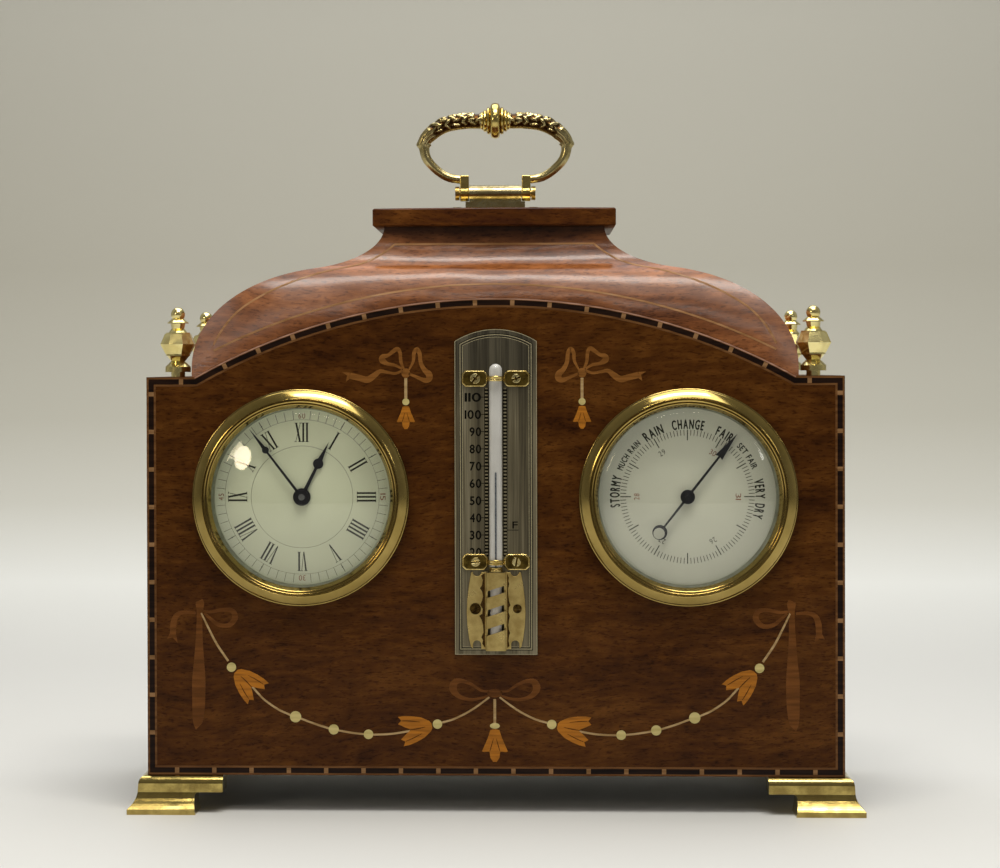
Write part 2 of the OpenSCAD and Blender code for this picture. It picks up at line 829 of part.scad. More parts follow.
barrel_wall = 0.8;
barrel_r = train_mod * barrel_teeth / 2 - 1;
drum_barrel_l = 8.4;
barrel_wheel_t = 1.2;
barrel_front = between + 0.8;
barrel_back = barrel_front + drum_barrel_l;

module mainspring_barrel() {
    color("#c6a352") {
        layer(barrel_front, barrel_front + barrel_wheel_t) at_clock(barrel_dist, barrel_dir) difference() {
            teeth(barrel_teeth, train_mod, barrel_dir + 180, true);
            circle(winder_r + run);
        }
        layer(barrel_front + barrel_wheel_t, barrel_back - barrel_wall) at_clock(barrel_dist, barrel_dir)
            difference() {
            circle(barrel_r);
            circle(barrel_r - barrel_wall);
        }
        layer(barrel_back - barrel_wall, barrel_back) at_clock(barrel_dist, barrel_dir) difference() {
            circle(barrel_r);
            circle(winder_r + run);
        }
    }
}

// A flat spiral strip from radius r0 to radius r1
module spiral(r0, r1, turns, t, steps) {
    n = turns * steps;
    growth = (r1 - t - r0) / n;
    inner = [for (i = [0:n]) (r0 + growth * i) * [cos(i * 360 / steps), sin(i * 360 / steps)]];
    outer = [for (i = [n:-1:0]) (r0 + t + growth * i) * [cos(i * 360 / steps), sin(i * 360 / steps)]];
    polygon(concat(inner, outer));
}

module mainspring() {
    color("#6f7780") layer(barrel_front + 1.6, barrel_back - barrel_wall - 0.4)
        at_clock(barrel_dist, barrel_dir) spiral(winder_r + 0.4, barrel_r - barrel_wall - 0.05, 6, 0.4, 16);
}

module third_wheel() {
    color("#c6a352") {
        layer(plate_front + 0.4, movement_end - 0.4) at_clock(third_dist, third_dir) circle(third_r);
        layer(plate_back - 4, plate_back - 2.2) at_clock(third_dist, third_dir)
            teeth(third_pinion_teeth, train_mod, third_dir + 180, true);
        layer(plate_back - 8, plate_back - 7) at_clock(third_dist, third_dir) difference() {
            circle(10.8);
            crossings(9.2, 2.4, 1.8);
        }
    }
}

key_boss_l = 6;
key_boss_r = 3;
key_grip_l = 6;
key_grip_t = 2;

module winding_arbor() {
    key_front = drum_end + cover_t + 1;
    boss_end = key_front + key_boss_l;
    color("#c9a24a") {
        layer(plate_front + 0.2, boss_end) at_clock(barrel_dist, barrel_dir) circle(winder_r);
        layer(key_front, boss_end) at_clock(barrel_dist, barrel_dir) circle(key_boss_r);
        layer(boss_end, boss_end + key_grip_l) at_clock(barrel_dist, barrel_dir)
            square([key_w, key_grip_t], center = true);
    }
}

platform_t = 1.4;
platform_w = 30;
platform_h = 22;
cock_level = movement_end + platform_t + 4.5;

module balance_platform() {
    color("#c6a352") {
        layer(movement_end, movement_end + platform_t) at_clock(balance_rise, 90) difference() {
            square([platform_w, platform_h], center = true);
            circle(staff_r + run);
        }
        layer(movement_end + platform_t, cock_level) at_clock(balance_rise, 90)
            translate([-platform_w / 2, -4]) square([4, 8]);
        layer(cock_level, cock_level + 1.2) at_clock(balance_rise, 90) difference() {
            translate([-platform_w / 2, -2.5]) square([platform_w / 2 + 2.5, 5]);
            circle(staff_r + run);
        }
    }
}

module balance_wheel() {
    rim = balance_d / 2;
    color("#d0b060") {
        layer(movement_end + 0.3, cock_level + 1) at_clock(balance_rise, 90) circle(staff_r);
        layer(movement_end + platform_t + 1.4, movement_end + platform_t + 2.4) at_clock(balance_rise, 90)
            difference() {
                circle(rim);
                crossings(rim - 1, 1.2, 1.4);
            }
        layer(movement_end + platform_t + 3, movement_end + platform_t + 3.4) at_clock(balance_rise, 90) {
            circle(0.9);
            spiral(0.8, 4, 3, 0.2, 12);
        }
    }
}

module barometer_bezel() {
    bezel(dial_x);
}

module barometer_glass() {
    glass(dial_x);
}

module barometer_sight_ring() {
    sight_ring(dial_x);
}

hand_arbor_r = 0.8;
adjust_drop = capsule_d / 2 + 4;
adjust_r = 1.5;

module barometer_dial() {
    dial(dial_x, hand_arbor_r + 0.5);
}

// Moves a flat outline to a place beside the barometer's centre
module at_baro(dx, dz) {
    translate([dial_x + dx, dial_z + dz]) children();
}

baro_end = dial_back + baro_drum_l;
baro_back_t = 1.2;

module barometer_case() {
    color("#b8923f") {
        layer(dial_back, baro_end) at_baro(0, 0) difference() {
            circle(drum_r);
            circle(drum_in);
        }
        layer(baro_end, baro_end + baro_back_t) at_baro(0, 0) difference() {
            circle(drum_r);
            translate([0, -adjust_drop]) circle(adjust_r + run);
        }
    }
}

// The capsule's ringed discs, with a post on its front face
capsule_front = baro_end - capsule_t;
spring_t = 1.4;
spring_front = capsule_front - 4;

module aneroid_capsule() {
    r = capsule_d / 2;
    color("#c9b98a") {
        turned(dial_x, dial_z) translate([0, -baro_end]) polygon(concat(
            [[0, 0], [r - 3, 0], [r - 3, 1]],
            [[r, 2], [r, capsule_t - 2]],
            [for (i = [1:4]) each [[r - 2 * i + 1, capsule_t - 2], [r - 2 * i, capsule_t - 1.2]]],
            [[0, capsule_t - 1.2]]));
        shaft(dial_x, dial_z, 2.5, spring_front + spring_t, capsule_front + 2);
    }
}

// The leaf spring that holds the capsule open: a leaf on two legs
spring_w = 10;
spring_reach = capsule_d / 2 + 6;
module capsule_spring() {
    color("#6f7780") {
        layer(spring_front, spring_front + spring_t) at_baro(-spring_reach, -spring_w / 2)
            square([2 * spring_reach, spring_w]);
        layer(spring_front + spring_t, baro_end) for (x = [-spring_reach, spring_reach - 2])
            at_baro(x, -spring_w / 2) square([2, spring_w]);
    }
}

bridge_front = dial_back + 8.2;
bridge_t = 1.2;
bridge_reach = spring_reach + 5.5;
rock_z = -9.5;
rock_depth = bridge_front + 4;
rock_r = 0.8;
ear_x = 6;
ear_t = 2;

// The bridge over the works, with two ears for the rocking lever and two pillars
module hand_bridge() {
    color("#c6a352") difference() {
        union() {
            layer(bridge_front, bridge_front + bridge_t) at_baro(-bridge_reach, -4) square([2 * bridge_reach, 8]);
            layer(bridge_front + bridge_t, baro_end) for (s = [-1, 1])
                at_baro(s * (bridge_reach - 2), 0) circle(1.5);
            layer(bridge_front, rock_depth + 1.6) for (x = [-ear_x - ear_t, ear_x])
                at_baro(x, rock_z - 2) square([ear_t, -rock_z - 2]);
        }
        shaft(dial_x, dial_z, hand_arbor_r + run, bridge_front - 1, bridge_front + 3);
        translate([dial_x, front_y + rock_depth, dial_z + rock_z]) rotate([0, 90, 0])
            cylinder(h = 4 * ear_x, r = rock_r + run, center = true);
    }
}

// The lever that turns the capsule's small movement into a pull on the hand's arbor
module rocking_lever() {
    color("#9a9a94") {
        translate([dial_x, front_y + rock_depth, dial_z + rock_z]) rotate([0, 90, 0])
            cylinder(h = 2 * (ear_x + ear_t), r = rock_r, center = true);
        layer(rock_depth - 6.4, rock_depth) at_baro(-1, rock_z - 0.7) square([2, 1.4]);
        layer(rock_depth - 0.6, rock_depth + 0.6) at_baro(-1, rock_z - 8) square([2, 8]);
    }
}

module barometer_hand() {
    color("#1c2430") {
        layer(minute_level - 0.5, bridge_front + bridge_t + 1) at_baro(0, 0) circle(hand_arbor_r);
        layer(bridge_front - 2.6, bridge_front - 1) at_baro(0, 0) circle(2);
        layer(minute_level, minute_level + hand_t) at_baro(0, 0) rotate(-baro_angle) {
            circle(2.7);
            polygon([[-0.5, 0], [-0.4, 19], [-1.6, 18.6], [0, sight_d / 2 - baro_tip_gap],
                     [1.6, 18.6], [0.4, 19], [0.5, 0]]);
            polygon([[-0.5, 0], [-0.35, -14.2], [0.35, -14.2], [0.5, 0]]);
            translate([0, -16.8]) difference() {
                circle(2.8);
                translate([0, -0.5]) circle(2.1);
            }
        }
    }
}

module adjusting_screw() {
    head_level = baro_end + baro_back_t + 0.3;
    color("#b58f3e") difference() {
        union() {
            shaft(dial_x, dial_z - adjust_drop, adjust_r, baro_end - 2, head_level);
            shaft(dial_x, dial_z - adjust_drop, 3.2, head_level, head_level + 2);
        }
        layer(head_level + 1.2, head_level + 3) at_baro(-4, -adjust_drop - 0.4) square([8, 0.8]);
    }
}

// Thermometer: levels are in front of the panel
plate_z = foot_h + therm_z;
guard_z = plate_z + 2;
guard_top = guard_z + guard_h;
tube_level = therm_t + 0.1 + tube_d / 2;
clip_t = 0.8;
clip_rise = [3.6, 71.8];
clip_x = 7.6;
clip_lug = 9.4;
clip_h = 6;
clip_gap = 3.1;
strap_h = 1.3;
guard_screw_x = 7.9;
guard_screw_rise = 15.2;
guard_t = 0.7;
therm_screw_d = 1.6;
therm_screw_depth = 4;
channel_w = 8.2;
channel_h = 6;
slot_h = 1.7;
slot_rise = [8.4, 15.4, 22.4];
bulb_d = 4.2;
bore_d = 0.9;

module therm_screw_places() {
    for (s = [-1, 1]) {
        for (z = clip_rise) translate([therm_x + s * clip_x, 0, guard_top + z]) children();
        translate([therm_x + s * guard_screw_x, 0, guard_z + guard_screw_rise]) children();
    }
}

module thermometer_plate() {
    r = (therm_w * therm_w / 4 + therm_rise * therm_rise) / (2 * therm_rise);
    color("#8c8a84") difference() {
        layer(-therm_t, 0) {
            translate([therm_x - therm_w / 2, plate_z]) square([therm_w, therm_h]);
            intersection() {
                translate([therm_x, plate_z + therm_h + therm_rise - r]) circle(r);
                translate([therm_x - therm_w / 2, plate_z + therm_h - 1]) square([therm_w, therm_rise + 2]);
            }
        }
        therm_screw_places() shaft(0, 0, therm_screw_d / 2, -therm_t - 1, 1);
    }
}

module thermometer_tube() {
    top = guard_top + tube_l - tube_d / 2;
    color("#eef0f0") translate([therm_x, front_y - tube_level, 0]) difference() {
        union() {
            translate([0, 0, guard_top + 0.6]) cylinder(h = top - guard_top - 0.6, d = tube_d);
            translate([0, 0, top]) sphere(d = tube_d);
            translate([0, 0, guard_z + 3]) cylinder(h = guard_h - 2, d = bulb_d);
        }
        translate([0, 0, guard_top - 2]) cylinder(h = tube_l - tube_d, d = bore_d);
        translate([0, 0, guard_z + 4]) cylinder(h = guard_h - 6, d = bulb_d - 1.2);
    }
}

module mercury() {
    color("#c8ccd0") translate([therm_x, front_y - tube_level, guard_z + 4]) {
        cylinder(h = guard_h - 6, d = bulb_d - 1.2);
        cylinder(h = guard_h - 4 + mercury_l, d = bore_d);
    }
}

// Two clips: a pair of lugs each, joined by a narrow strap over the tube
module tube_clips() {
    color("#b58f3e") difference() {
        for (z = clip_rise) {
            layer(-therm_t - clip_t, -therm_t) for (s = [-1, 1])
                translate([therm_x + s * (clip_gap + clip_lug / 2), guard_top + z]) clip_lug_outline();
            translate([therm_x, front_y - tube_level, guard_top + z - strap_h / 2]) difference() {
                cylinder(h = strap_h, d = tube_d + 2 * clip_t + 0.2);
                translate([0, 0, -1]) cylinder(h = strap_h + 2, d = tube_d + 0.2);
                translate([-tube_d, 0, -1]) cube([2 * tube_d, tube_d, strap_h + 2]);
            }
            translate([therm_x, front_y - tube_level, guard_top + z - strap_h / 2]) for (s = [-1, 1])
                translate([s * (tube_d + clip_t + 0.1) / 2 - clip_t / 2, 0, 0])
                    cube([clip_t, tube_level - therm_t, strap_h]);
        }
        therm_screw_places() shaft(0, 0, therm_screw_d / 2, -5, 1);
    }
}

module clip_lug_outline() {
    w = clip_lug / 2;
    h = clip_h / 2;
    c = 1.4;
    polygon([[-w, -h + c], [-w + c, -h], [w - c, -h], [w, -h + c],
             [w, h - c], [w - c, h], [-w + c, h], [-w, h - c]]);
}

module guard_plate_outline() {
    w = guard_w / 2;
    difference() {
        polygon([[-w * 0.92, 0], [w * 0.92, 0], [w, guard_h * 0.45], [w * 0.93, guard_h * 0.88],
                 [-w * 0.93, guard_h * 0.88], [-w, guard_h * 0.45]]);
        for (s = [-1, 1]) translate([s * w * 0.66, 0]) circle(2);
        for (s = [-1, 1]) translate([s * w * 0.66, guard_h * 0.9]) circle(1.9);
    }
}

// The pierced guard over the bulb: a flat shield with a raised, slotted channel
module bulb_guard() {
    color("#b58f3e") difference() {
        union() {
            layer(-therm_t - guard_t, -therm_t) translate([therm_x, guard_z]) guard_plate_outline();
            layer(-therm_t - channel_h, -therm_t) translate([therm_x - channel_w / 2, guard_z])
                square([channel_w, guard_h]);
        }
        layer(-therm_t - channel_h + guard_t, 1) translate([therm_x - channel_w / 2 + guard_t, guard_z - 1])
            square([channel_w - 2 * guard_t, guard_h + 2]);
        for (z = slot_rise) layer(-therm_t - channel_h - 1, -therm_t - 3) translate([therm_x, guard_z + z])
            rotate(14) square([channel_w + 3, slot_h], center = true);
        therm_screw_places() shaft(0, 0, therm_screw_d / 2, -5, 1);
    }
}

module thermometer_screws() {
    color("#a88a48") therm_screw_places() {
        shaft(0, 0, therm_screw_d / 2, -therm_t - clip_t, therm_screw_depth);
        shaft(0, 0, 1.5, -therm_t - clip_t - 0.8, -therm_t - clip_t);
    }
}

// The back door's hinge stands beside the door, with three knuckles on one pin
hinge_x = -dial_x - door_d / 2 - 2.4;
door_gap = 0.2;
knuckle_r = 1.9;
knuckle_h = 8;
pin_r = 0.8;
leaf_w = 9;
leaf_t = 1;
door_knob_in = 6;

module at_hinge(z) {
    translate([hinge_x, front_y + case_d + door_gap + knuckle_r, dial_z + z]) children();
}

// The round brass door behind the clock, with its knob
module back_door() {
    face = case_d + door_gap;
    low = [-1.5 * knuckle_h, 0.5 * knuckle_h + door_gap];
    color("#c9a24a") difference() {
        union() {
            layer(face, face + door_t) at_clock(0, 0) circle(door_d / 2);
            layer(face, face + 3.2) at_clock(door_d / 2 - door_knob_in, 0) circle(1.6);
            layer(face + 3.2, face + 5.6) at_clock(door_d / 2 - door_knob_in, 0) circle(3);
            for (z = low) {
                at_hinge(z) cylinder(h = knuckle_h - door_gap, r = knuckle_r);
                layer(face, face + door_t) translate([hinge_x, dial_z + z]) square([7, knuckle_h - door_gap]);
            }
        }
        at_hinge(-2 * knuckle_h) cylinder(h = 4 * knuckle_h, r = pin_r + run);
    }
}

// The fixed leaf with its middle knuckle and the pin
module door_hinge() {
    color("#b58f3e") {
        layer(case_d, case_d + leaf_t) translate([hinge_x - leaf_w, dial_z - 1.5 * knuckle_h])
            square([leaf_w - knuckle_r - 0.3, 3 * knuckle_h]);
        layer(case_d, case_d + leaf_t) translate([hinge_x - leaf_w, dial_z - knuckle_h / 2])
            square([leaf_w, knuckle_h]);
        at_hinge(-knuckle_h / 2) cylinder(h = knuckle_h, r = knuckle_r);
        at_hinge(-1.5 * knuckle_h) cylinder(h = 3 * knuckle_h, r = pin_r);
    }
}

front_panel();
back_panel();
left_side();
right_side();
base_board();
left_shoulder();
right_shoulder();
glue_blocks();
roof();
top_board();
front_left_foot();
front_right_foot();
rear_left_foot();
rear_right_foot();
foot_screws();
front_left_finial();
front_right_finial();
rear_left_finial();
rear_right_finial();
handle();
handle_base();
handle_screws();
clock_bezel();
clock_glass();
clock_sight_ring();
clock_dial();
clock_drum();
clock_cover();
movement_plates();
movement_pillars();
centre_arbor();
minute_hand();
hour_wheel();
hour_hand();
minute_wheel();
mainspring_barrel();
mainspring();
third_wheel();
winding_arbor();
balance_platform();
balance_wheel();
barometer_bezel();
barometer_glass();
barometer_sight_ring();
barometer_dial();
barometer_case();
aneroid_capsule();
capsule_spring();
hand_bridge();
rocking_lever();
barometer_hand();
adjusting_screw();
thermometer_plate();
thermometer_tube();
mercury();
tube_clips();
bulb_guard();
thermometer_screws();
back_door();
door_hinge();
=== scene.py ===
import math
import bmesh
import bpy
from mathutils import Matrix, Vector


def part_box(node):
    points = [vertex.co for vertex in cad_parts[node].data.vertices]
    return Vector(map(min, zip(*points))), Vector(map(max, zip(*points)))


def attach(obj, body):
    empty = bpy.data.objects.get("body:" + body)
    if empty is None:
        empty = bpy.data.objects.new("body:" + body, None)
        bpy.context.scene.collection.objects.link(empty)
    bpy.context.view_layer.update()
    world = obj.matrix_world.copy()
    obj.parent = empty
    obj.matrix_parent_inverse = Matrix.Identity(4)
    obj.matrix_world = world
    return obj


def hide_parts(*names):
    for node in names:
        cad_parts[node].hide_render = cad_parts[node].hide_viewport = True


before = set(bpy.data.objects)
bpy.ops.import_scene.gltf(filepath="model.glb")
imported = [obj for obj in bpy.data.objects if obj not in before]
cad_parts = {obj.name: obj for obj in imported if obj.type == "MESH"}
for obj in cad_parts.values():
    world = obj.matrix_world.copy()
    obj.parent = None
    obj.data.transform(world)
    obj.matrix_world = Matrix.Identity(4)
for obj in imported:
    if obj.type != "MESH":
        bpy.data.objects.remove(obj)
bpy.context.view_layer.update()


# Studio: a pale paper sheet that runs back under the object and sweeps up behind it, soft lamps
# above and to both sides, and a camera one metre in front, a little above the dials.
def linear(hex_colour):
    parts = [int(hex_colour[i:i + 2], 16) / 255 for i in (1, 3, 5)]
    return tuple(c / 12.92 if c <= 0.04045 else ((c + 0.055) / 1.055) ** 2.4 for c in parts) + (1.0,)


def add(tree, kind, settings=None, links=None):
    # A hex colour is turned to linear, and a node stands for its first output
    node = tree.nodes.new("ShaderNode" + kind)
    for name, value in (settings or {}).items():
        if name == "stops":
            ramp = node.color_ramp.elements
            while len(ramp) < len(value):
                ramp.new(0.5)
            for stop, (place, colour) in zip(ramp, value):
                stop.position = place
                stop.color = linear(colour) if isinstance(colour, str) else colour
        elif isinstance(name, int) or name in node.inputs:
            node.inputs[name].default_value = linear(value) if isinstance(value, str) else value
        else:
            setattr(node, name, value)
    for name, source in (links or {}).items():
        tree.links.new(source.outputs[0] if isinstance(source, bpy.types.Node) else source, node.inputs[name])
    return node


def new_material(name):
    made = bpy.data.materials.new(name)
    made.use_nodes = True
    made.node_tree.nodes.clear()
    return made, made.node_tree


def surface(tree, shader):
    add(tree, "OutputMaterial", links={"Surface": shader})


def new_object(name, mesh, finish, sharp=None):
    if sharp:
        mesh.shade_smooth()
        mesh.set_sharp_from_angle(angle=math.radians(sharp))
    mesh.materials.append(finish)
    made = bpy.data.objects.new(name, mesh)
    bpy.context.scene.collection.objects.link(made)
    return made


# The sheet's line from front to back, in metres: flat to 0.3 behind the object, then up
sweep = [(-1.3, 0.0), (0.3, 0.0), (0.45, 0.005), (0.62, 0.03), (0.78, 0.09), (0.9, 0.19), (0.98, 0.34),
         (1.02, 0.6), (1.02, 1.5)]
sheet_half = 2.2
shade_height = 0.62
sheet_paper, tree = new_material("paper_sheet")
place = add(tree, "TexCoord").outputs["Object"]
axes = add(tree, "SeparateXYZ", links={0: place})
height = add(tree, "MapRange", {"From Min": 0.0, "From Max": shade_height}, {"Value": axes.outputs["Z"]})
# The paper's colour is painted by height: lightest just above the floor and darker up the sweep, as painted
# light and shade
paper_painted_light = add(tree, "ValToRGB", {"stops": [
    (0.0, "#cbcbc8"), (0.05, "#dfe0dc"), (0.12, "#c6c5bc"), (0.21, "#b4b2a6"), (0.39, "#a8a598"),
    (0.69, "#b1afa4"), (1.0, "#aeada5")]}, {"Fac": height})
# The paper's tooth is drawn 1 mm wide, coarser than real, so that it shows
tooth = add(tree, "TexNoise", {"Scale": 900.0, "Detail": 2.0}, {"Vector": place})
rough = add(tree, "Bump", {"Strength": 0.05, "Distance": 0.0001}, {"Height": tooth})
paper = add(tree, "BsdfPrincipled", {"Roughness": 0.55, "Specular IOR Level": 0.3},
            {"Base Color": paper_painted_light, "Normal": rough})
# The sheet shows only from the object's side, so that it never hides the object from behind
facing = add(tree, "NewGeometry").outputs["Backfacing"]
nothing = add(tree, "BsdfTransparent")
surface(tree, add(tree, "MixShader", links={0: facing, 1: paper, 2: nothing}))
sheet = bpy.data.meshes.new("floor_sheet")
sheet.from_pydata([(x, y, z) for x in (-sheet_half, sheet_half) for y, z in sweep], [],
                  [(i, i + len(sweep), i + len(sweep) + 1, i + 1) for i in range(len(sweep) - 1)])
floor = new_object("floor_sheet", sheet, sheet_paper, 60)
smooth_sheet = floor.modifiers.new("smooth", "SUBSURF")
smooth_sheet.levels = smooth_sheet.render_levels = 3

# The room is darker in front of the object than behind it, which the brass and the glass mirror
world = bpy.data.worlds.new("studio")
bpy.context.scene.world = world
world.use_nodes = True
world.node_tree.nodes.clear()
tree = world.node_tree
axes = add(tree, "SeparateXYZ", links={0: add(tree, "TexCoord").outputs["Generated"]})
depth = add(tree, "MapRange", {"From Min": -1.0, "From Max": 1.0}, {"Value": axes.outputs["Y"]})
room = add(tree, "ValToRGB", {"stops": [(0.0, "#7d7a75"), (0.3, "#95938e"), (0.6, "#bab9b4"),
                                        (1.0, "#cbcac5")]}, {"Fac": depth})
add(tree, "OutputWorld", links={"Surface": add(tree, "Background", {"Strength": 0.75}, {"Color": room})})

for name, place, aim, size, power, colour, shape in (
        ("strip_above", (0.05, -0.35, 0.95), (0, 0, 0.2), (0.5, 0.16), 4.0, "#fffaf2", "RECTANGLE"),
        ("strip_front", (0.0, -0.98, 0.95), (0, 0, 0.15), (0.6, 0.02), 0.9, "#fffaf2", "RECTANGLE"),
        ("window_left", (-0.78, -1.02, 0.47), (0, 0, 0.12), (0.19, 0.25), 1.5, "#fff0d2", "ELLIPSE"),
        ("lamp_right", (0.98, -1.05, 0.62), (0, 0, 0.12), (0.06, 0.3), 0.4, "#fffcf6", "ELLIPSE"),
        ("panel_above", (0.1, -0.42, 1.3), (0, -0.1, 0.2), (0.8, 1.0), 9.0, "#fffdf8", "RECTANGLE"),
        ("sky_card", (0.0, 0.35, 1.2), (0, 0.1, 0.1), (1.2, 0.7), 8.0, "#fbfcff", "RECTANGLE")):
    light = bpy.data.lights.new(name, "AREA")
    light.shape = shape
    light.size, light.size_y = size
    light.energy = power
    light.color = linear(colour)[:3]
    lamp = bpy.data.objects.new(name, light)
    lamp.location = place
    lamp.rotation_euler = (Vector(aim) - Vector(place)).to_track_quat("-Z", "Y").to_euler()
    bpy.context.scene.collection.objects.link(lamp)

view = bpy.data.cameras.new("camera")
view.lens = 92.3
view.sensor_width = 36.0
view.shift_x = 0.070
view.shift_y = -0.039
camera = bpy.data.objects.new("camera", view)
camera.location = (0.0146, -1.0062, 0.1678)
camera.rotation_euler = (math.radians(89.33), math.radians(0.15), math.radians(2.3))
bpy.context.scene.collection.objects.link(camera)
bpy.context.scene.camera = camera
bpy.context.scene.view_settings.view_transform = "Standard"

# Case: boards of mahogany, French polished over a closed grain, on a base board and glue blocks of
# stained pine. The polish is a thin gloss over fine dark pores and a soft cross figure.
MM = 0.001
front_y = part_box("front_panel")[0][1]
back_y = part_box("back_panel")[1][1]
case_y = (front_y + back_y) / 2
wood_ior = 1.5
belly_z = 0.195


def french_polish(name, dark, middle, light, along=(3.2, 14.0, 14.0), tilt=0.0, gloss=0.1, polish=0.1,
                  uneven=(55.0, 0.0003), top_light=1.0, shade_from=1.0, full=0.0):
    # Along the grain the bands are 60 mm long, the fibres 9 mm and the pores 2.6 mm, and each is
    # about a quarter as wide; the mottle is 7 mm. The pores are drawn coarser than real, to show
    made, tree = new_material(name)
    coords = add(tree, "TexCoord")
    place = coords.outputs["Object"]
    lay = add(tree, "Mapping", {"Rotation": (0.0, tilt, 0.0)}, {"Vector": place})
    wander = add(tree, "TexNoise", {"Scale": 9.0, "Detail": 2.0}, {"Vector": lay})
    bend = add(tree, "MixRGB", {"blend_type": "ADD", "Fac": 0.02},
               {"Color1": lay, "Color2": wander.outputs["Color"]})
    stretched = []
    for scale in (5.0, 34.0, 120.0):
        pulled = add(tree, "Mapping", {"Scale": tuple(scale * a for a in along)}, {"Vector": bend})
        stretched.append(add(tree, "TexNoise", {"Scale": 1.0, "Detail": 5.0, "Roughness": 0.55},
                             {"Vector": pulled}))
    band, fibre, pore = stretched
    mottle = add(tree, "TexNoise", {"Scale": 150.0, "Detail": 4.0, "Roughness": 0.65}, {"Vector": place})
    both = add(tree, "Mix", {"data_type": "FLOAT", 0: 0.45}, {2: band, 3: fibre})
    tone = add(tree, "ValToRGB", {"stops": [(0.34, dark), (0.5, middle), (0.66, light)]}, {"Fac": both})
    figure = add(tree, "ValToRGB", {"stops": [(0.35, (0.7, 0.68, 0.66, 1)), (0.65, (1.14, 1.14, 1.12, 1))]},
                 {"Fac": mottle})
    figured = add(tree, "MixRGB", {"blend_type": "MULTIPLY", "Fac": 0.55}, {"Color1": tone, "Color2": figure})
    flecks = add(tree, "ValToRGB", {"stops": [(0.36, (0.35, 0.3, 0.27, 1)), (0.46, (1, 1, 1, 1))]},
                 {"Fac": pore})
    colour = add(tree, "MixRGB", {"blend_type": "MULTIPLY", "Fac": 0.75},
                 {"Color1": figured, "Color2": flecks})
    # The colour is painted lighter where the wood looks up, as painted light from above, and painted darker
    # under the top board, as painted shade
    upward = add(tree, "SeparateXYZ", links={0: coords.outputs["Normal"]})
    painted_top_light = add(tree, "MapRange", {"From Min": 0.25, "From Max": 0.95, "To Min": 1.0, "To Max": top_light},
                 {"Value": upward.outputs["Z"]})
    axes = add(tree, "SeparateXYZ", links={0: place})
    painted_shade = add(tree, "MapRange", {"From Min": shade_from, "From Max": shade_from + 0.006, "To Min": 1.0,
                                    "To Max": 0.22}, {"Value": axes.outputs["Z"]})
    level = add(tree, "Math", {"operation": "MULTIPLY"}, {0: painted_top_light, 1: painted_shade})
    colour = add(tree, "HueSaturation", links={"Value": level, "Color": colour})
    # The polish lies a little uneven, and above belly_z a roof face is fuller in its middle
    ripple = add(tree, "TexNoise", {"Scale": uneven[0], "Detail": 1.5}, {"Vector": place})
    waves = add(tree, "Bump", {"Strength": 1.0, "Distance": uneven[1]}, {"Height": ripple})
    wide = add(tree, "Math", {"operation": "MULTIPLY"}, {0: axes.outputs["X"], 1: axes.outputs["X"]})
    drop = add(tree, "Math", {"operation": "SUBTRACT", 0: belly_z}, {1: axes.outputs["Z"]})
    belly = add(tree, "Math", {"operation": "MULTIPLY"}, {0: wide, 1: drop})
    bulge = add(tree, "Bump", {"Strength": 1.0, "Distance": full}, {"Height": belly, "Normal": waves})
    relief = add(tree, "Bump", {"Strength": 0.12, "Distance": 0.0002}, {"Height": pore, "Normal": bulge})
    matt = add(tree, "MapRange", {"To Min": 0.34, "To Max": 0.5}, {"Value": fibre})
    wood = add(tree, "BsdfPrincipled", {"Coat Weight": polish, "Coat Roughness": gloss, "Coat IOR": wood_ior,
                                        "IOR": wood_ior, "Specular IOR Level": 0.02},
               {"Base Color": colour, "Roughness": matt, "Normal": relief, "Coat Normal": relief})
    surface(tree, wood)
    return made


def wear(finish, *nodes):
    for node in nodes:
        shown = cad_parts[node]
        shown.data.materials.clear()
        shown.data.materials.append(finish)


across = (14.0, 3.2, 14.0)
wear(french_polish("mahogany_french_polished", "#2e1606", "#45260b", "#583513", tilt=0.03),
     "front_panel", "back_panel", "left_shoulder", "right_shoulder")
wear(french_polish("mahogany_case_boards", "#2b1505", "#3d210b", "#4e2e13", along=across, polish=0.3),
     "left_side", "right_side")
wear(french_polish("stained_pine", "#17100b", "#211710", "#2b1f16", gloss=0.5, polish=0.0),
     "base_board", "glue_blocks")


# Roof: mahogany veneer on a hollow caddy top, bent over an ogee and mitred at the hips. It is
# redder than the front and has the highest gloss on the object. Its line is in millimetres.
def placed(piece, body, slot, *nodes):
    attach(piece, body)
    if nodes:
        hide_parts(*nodes)
    return piece


def loft(name, rings, finish, closed=False, sharp=35):
    count = len(rings[0])
    points = [p for ring in rings for p in ring]
    pairs = [(i, i + 1) for i in range(len(rings) - 1)]
    if closed:
        pairs.append((len(rings) - 1, 0))
    faces = [(a * count + j, a * count + (j + 1) % count, b * count + (j + 1) % count, b * count + j)
             for a, b in pairs for j in range(count)]
    if not closed:
        faces.append(tuple(range(count - 1, -1, -1)))
        faces.append(tuple((len(rings) - 1) * count + j for j in range(count)))
    mesh = bpy.data.meshes.new(name)
    mesh.from_pydata(points, [], faces)
    solid = bmesh.new()
    solid.from_mesh(mesh)
    bmesh.ops.remove_doubles(solid, verts=solid.verts, dist=1e-7)
    bmesh.ops.recalc_face_normals(solid, faces=solid.faces)
    solid.to_mesh(mesh)
    solid.free()
    return new_object(name, mesh, finish, sharp)


def curve_point(p, t):
    return tuple((1 - t) ** 3 * a + 3 * t * (1 - t) ** 2 * b + 3 * t * t * (1 - t) * c + t ** 3 * d
                 for a, b, c, d in zip(*p))
